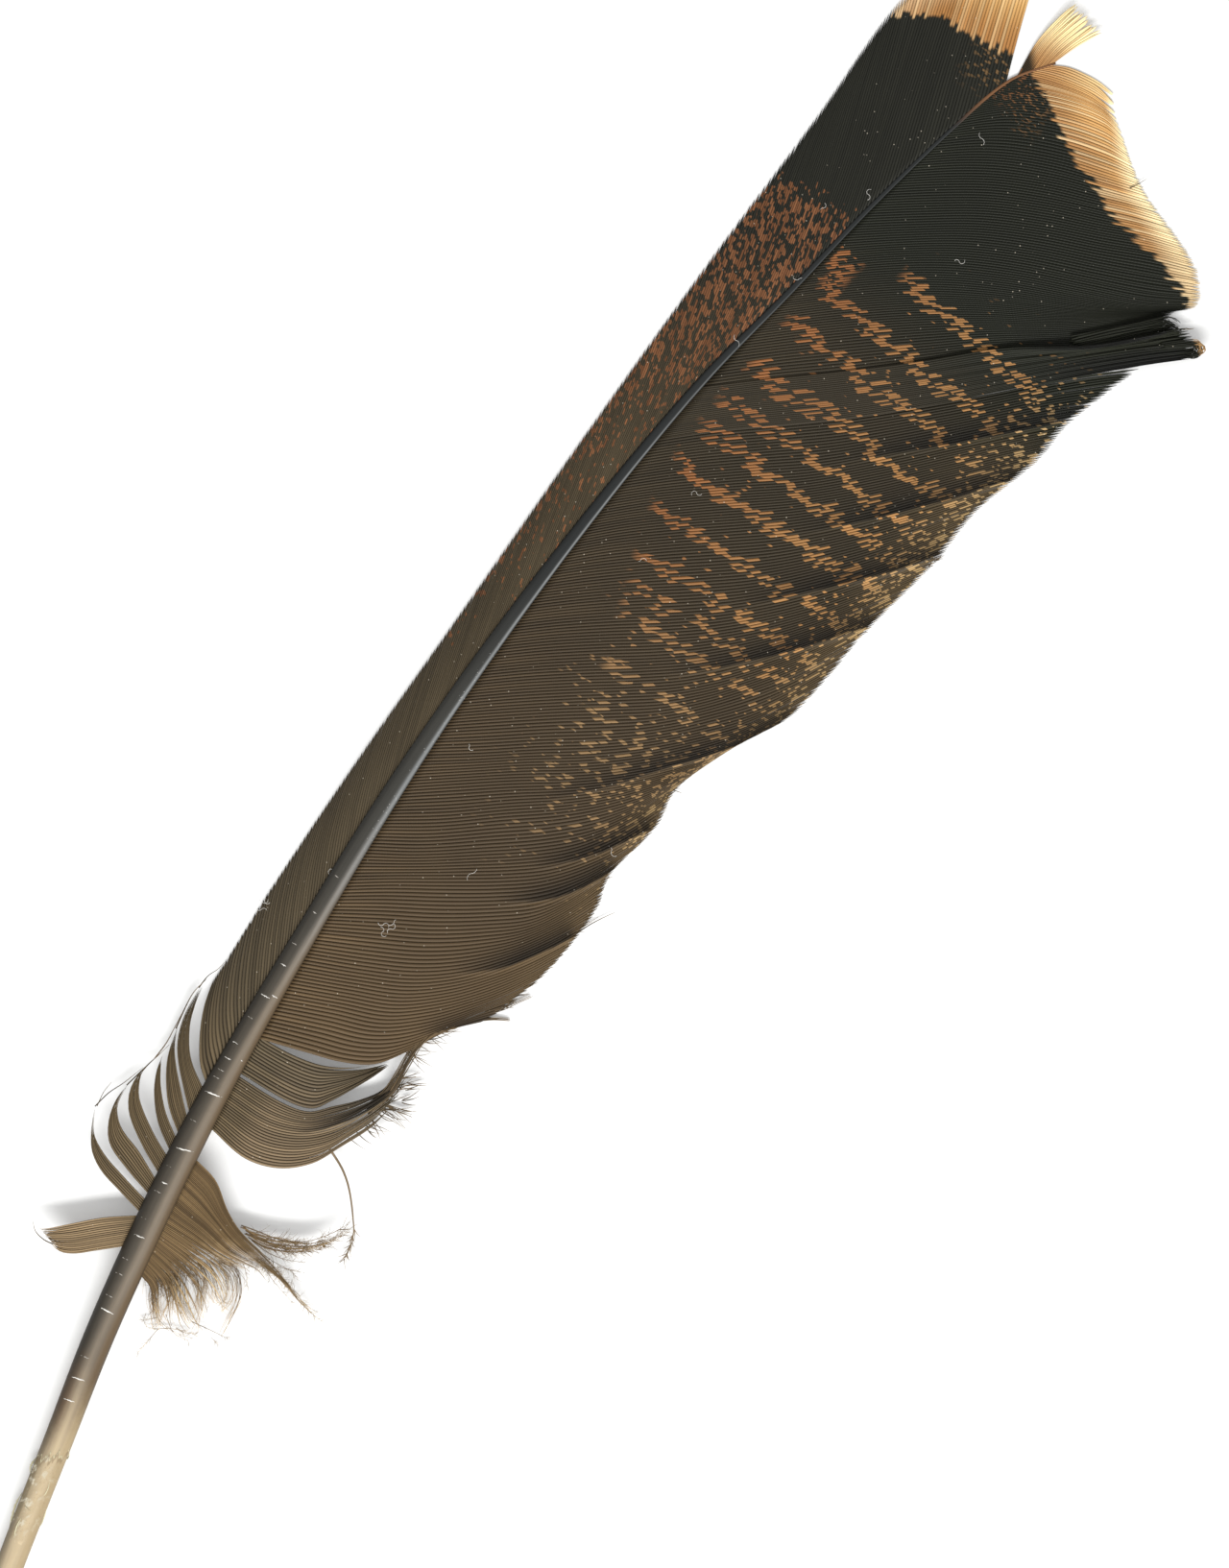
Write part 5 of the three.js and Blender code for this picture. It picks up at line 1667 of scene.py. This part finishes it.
for strand in TUFT_STRANDS:
    for _ in range(HAIRS_A_STRAND):
        path = wavy(strand, STRAND_SPREAD, 0.3)
        path = path[:int(chance.integers(len(path) - 1, len(path) + 1))]
        heights = np.linspace(1.6, 0.7, len(path)) + chance.uniform(-0.2, 0.2)
        wisps.append(hair(np.column_stack([path, heights]), chance.uniform(0.025, 0.06), 0.6, 16))
for _ in range(VEIL_HAIRS):
    first = int(chance.integers(0, len(TUFT_STRANDS) - 2))
    low, high = np.array(TUFT_STRANDS[first][:4]), np.array(TUFT_STRANDS[first + 1][:4])
    blend = chance.uniform(0, 1)
    path = wavy(low * blend + high * (1 - blend), (0.7, 1.0), 0.45)
    path = path[:int(chance.integers(2, 5))]
    wisps.append(hair(np.column_stack([path, np.linspace(1.4, 0.7, len(path))]), 0.03, 0.5, 10))
wisp_piece = hair_piece("down_wisps", wisps, downy, 4)
keep(wisp_piece, "down")

# %% [markdown]
# ## Fluff
# A second geometry tree scatters thousands of short bent hairs over the downy barbs. The short
# hair has few faces because it is copied so often.

# %% Fluff over the down
BENT_HAIR = [[0, 0, 0], [0.45, 0.12, 0.02], [0.8, 0.42, 0.03], [0.9, 0.8, 0.0]]
BENT_HAIR_RADII = (0.02, 0.018, 0.014, 0.008)
FLUFF_SIDES = 3
FLUFF_SEED = 500


def bent_hair():
    """A short three-sided hair, 1 mm long, that starts at the origin."""
    turns = turns_round(FLUFF_SIDES)
    ring = np.stack([np.zeros(FLUFF_SIDES), np.cos(turns), np.sin(turns)], axis=-1)
    rings = [np.array(p) + ring * r for p, r in zip(BENT_HAIR, BENT_HAIR_RADII)]
    return hidden(skin_object("pattern_fluff", [np.array(rings) * MM]))


def fluff_tree():
    g, given = start_tree("fluff over barbs", {
        "Barbs": "Geometry", "Pattern hair": "Object", "Density": 1.0, "Start": 0.4,
        "Shortest": 0.8, "Longest": 2.0, "Tilt": 0.2, "Seed": 1, "Material": "Material",
    }, "Fluff")

    def random(low, high, shift):
        return g.add("FunctionNodeRandomValue", low, high, None, g.plus(given["Seed"], shift),
                     data_type="FLOAT")

    facts = g.add("GeometryNodeInputNamedAttribute", "barb", data_type="FLOAT_VECTOR")
    far = g.above(g.parts(facts)[1], given["Start"])
    points = g.add("GeometryNodeDistributePointsOnFaces", given["Barbs"], far, given["Density"],
                   given["Seed"], distribute_method="RANDOM")
    lean = g.times(given["Tilt"], random(-1.0, 1.0, 3))
    turn = g.vector(random(-0.6, 0.6, 1), lean, random(0.0, math.tau, 2))
    size = random(given["Shortest"], given["Longest"], 4)
    pattern = g.add("GeometryNodeObjectInfo", given["Pattern hair"], False, out=4)
    copies = g.add("GeometryNodeInstanceOnPoints", points, True, pattern, False, None, turn, size)
    return finish_tree(g, g.add("GeometryNodeRealizeInstances", copies), given["Material"])


FLUFF_TREE = fluff_tree()
fluff_hair = bent_hair()
FLUFF = {  # piece it grows on: density a square millimetre, start, shortest, longest
    "downy_lock_barbs": (5.0, 0.62, 0.7, 1.8),
    "down_tuft_barbs": (1.4, 0.25, 0.8, 2.2),
    "downy_branch_strands": (3.0, 0.1, 0.5, 1.4),
}
for seed, (host, (density, start, shortest, longest)) in enumerate(FLUFF.items()):
    ground = new_object(host + "_copy", bpy.data.objects[host].data.copy())
    fluff = settle(ground, FLUFF_TREE, {
        "Pattern hair": fluff_hair, "Density": density / MM**2, "Start": start,
        "Shortest": shortest, "Longest": longest, "Seed": FLUFF_SEED + seed, "Material": downy,
    }, host.replace("_barbs", "").replace("_strands", "") + "_fluff")
    keep(fluff, "down")

# %% [markdown]
# ## Lint
# Fine pale fibres have settled on the webs, each a curl two or three millimetres long.

# %% Lint fibres
LINT_PLACES = [  # x, y, height
    (-24.0, 151.0, 4.9), (-17.0, 268.0, 2.6), (-16.6, 296.0, 2.0), (-10.6, 300.6, 2.0),
    (-3.0, 165.0, 4.9), (-6.4, 241.6, 3.9), (12.0, 262.0, 1.9), (21.6, 284.0, 1.4),
    (-8.0, 226.4, 4.3), (8.0, 300.0, 1.2), (14.0, 181.0, 2.4), (24.6, 262.4, 1.3),
    (1.0, 320.0, 1.3), (4.4, 205.0, 3.4), (-30.0, 140.0, 2.4), (-14.0, 282.0, 2.4),
    (-12.2, 147.6, 5.4), (-10.4, 148.2, 5.4), (-15.0, 182.0, 5.2), (10.0, 232.0, 2.8),
    (-11.4, 147.2, 5.5), (-9.8, 147.0, 5.5), (-31.6, 137.8, 1.6), (-32.0, 138.6, 1.4),
]
LINT_STEP = 0.36
LINT_RADIUS = 0.03

lint = []
for x, y, z in LINT_PLACES:
    heading, bend = chance.uniform(0, math.tau), chance.choice([-1, 1]) * chance.uniform(0.3, 0.8)
    path = [np.array([x, y, z])]
    for i in range(chance.integers(5, 9)):
        heading += bend * (1 if i < 4 else -1)
        path.append(path[-1] + [LINT_STEP * math.cos(heading), LINT_STEP * math.sin(heading), 0.03])
    lint.append(hair(path, LINT_RADIUS, end=0.7, steps=16))


def lint_material():
    g = start_material("pale lint")
    x, y = drawing_axes(g)
    grain = g.noise((x, 4.0), (y, 4.0))
    colour = g.mix(grain, srgb(170, 166, 158), srgb(236, 234, 228))
    return finish_material(g, {"Base Color": colour, "Roughness": 0.8})


lint_piece = hair_piece("lint", lint, lint_material(), 5)
keep(lint_piece, "down")

# %% [markdown]
# ## Camera
# The feather is seen from straight above through a long lens, turned so that it runs up to the
# right.

# %% Camera
CAMERA_AIM = (0.00076, 0.01589)
CAMERA_HEIGHT = 1.530
CAMERA_TURN = 33.5
LENS_LENGTH, SENSOR_WIDTH = 200, 36

camera_data = bpy.data.cameras.new("camera")
camera_data.lens = LENS_LENGTH
camera_data.sensor_width = SENSOR_WIDTH
camera_data.clip_start = 0.05
camera = new_object("camera", camera_data)
camera.location = (*CAMERA_AIM, CAMERA_HEIGHT)
camera.rotation_euler = (0, 0, math.radians(CAMERA_TURN))
bpy.context.scene.camera = camera
print("camera", CAMERA_HEIGHT, "m up")

# %% [markdown]
# ## Light and floor
# One long soft light stands low on the foot's side and an even sky fills the rest, so that
# shadows are soft and fall towards the tip. The floor is pale and glows a little, which keeps it
# white.

# %% Light and floor
SKY_STRENGTH = 0.75
LAMP_LENGTH, LAMP_WIDTH, LAMP_POWER = 1.2, 0.25, 22
LAMP_PLACE = (0.55 * 0.8, -0.83 * 0.8, 0.75)
LAMP_TILT = 46.8
FLOOR_HALF = 1.5
FLOOR_GLOW = 0.18
WHITE = (1, 1, 1, 1)

world = bpy.data.worlds.new("even sky")
world.use_nodes = True
background = world.node_tree.nodes["Background"]
background.inputs["Color"].default_value = WHITE
background.inputs["Strength"].default_value = SKY_STRENGTH
bpy.context.scene.world = world

lamp_data = bpy.data.lights.new("long soft lamp", "AREA")
lamp_data.shape = "RECTANGLE"
lamp_data.size = LAMP_LENGTH
lamp_data.size_y = LAMP_WIDTH
lamp_data.energy = LAMP_POWER
lamp = new_object("long soft lamp", lamp_data)
lamp.location = LAMP_PLACE
lamp.rotation_euler = (math.radians(LAMP_TILT), 0, math.radians(CAMERA_TURN))

corners = [(x * FLOOR_HALF, y * FLOOR_HALF, 0) for x, y in ((-1, -1), (1, -1), (1, 1), (-1, 1))]
floor_mesh = bpy.data.meshes.new("floor")
floor_mesh.from_pydata(corners, [], [(0, 1, 2, 3)])
floor = new_object("floor", floor_mesh)
floor.data.materials.append(finish_material(start_material("pale floor"), {
    "Base Color": srgb(200, 200, 199), "Roughness": 0.9,
    "Emission Color": WHITE, "Emission Strength": FLOOR_GLOW,
}))
bpy.context.scene.view_settings.view_transform = "Standard"
print("light and floor ready")
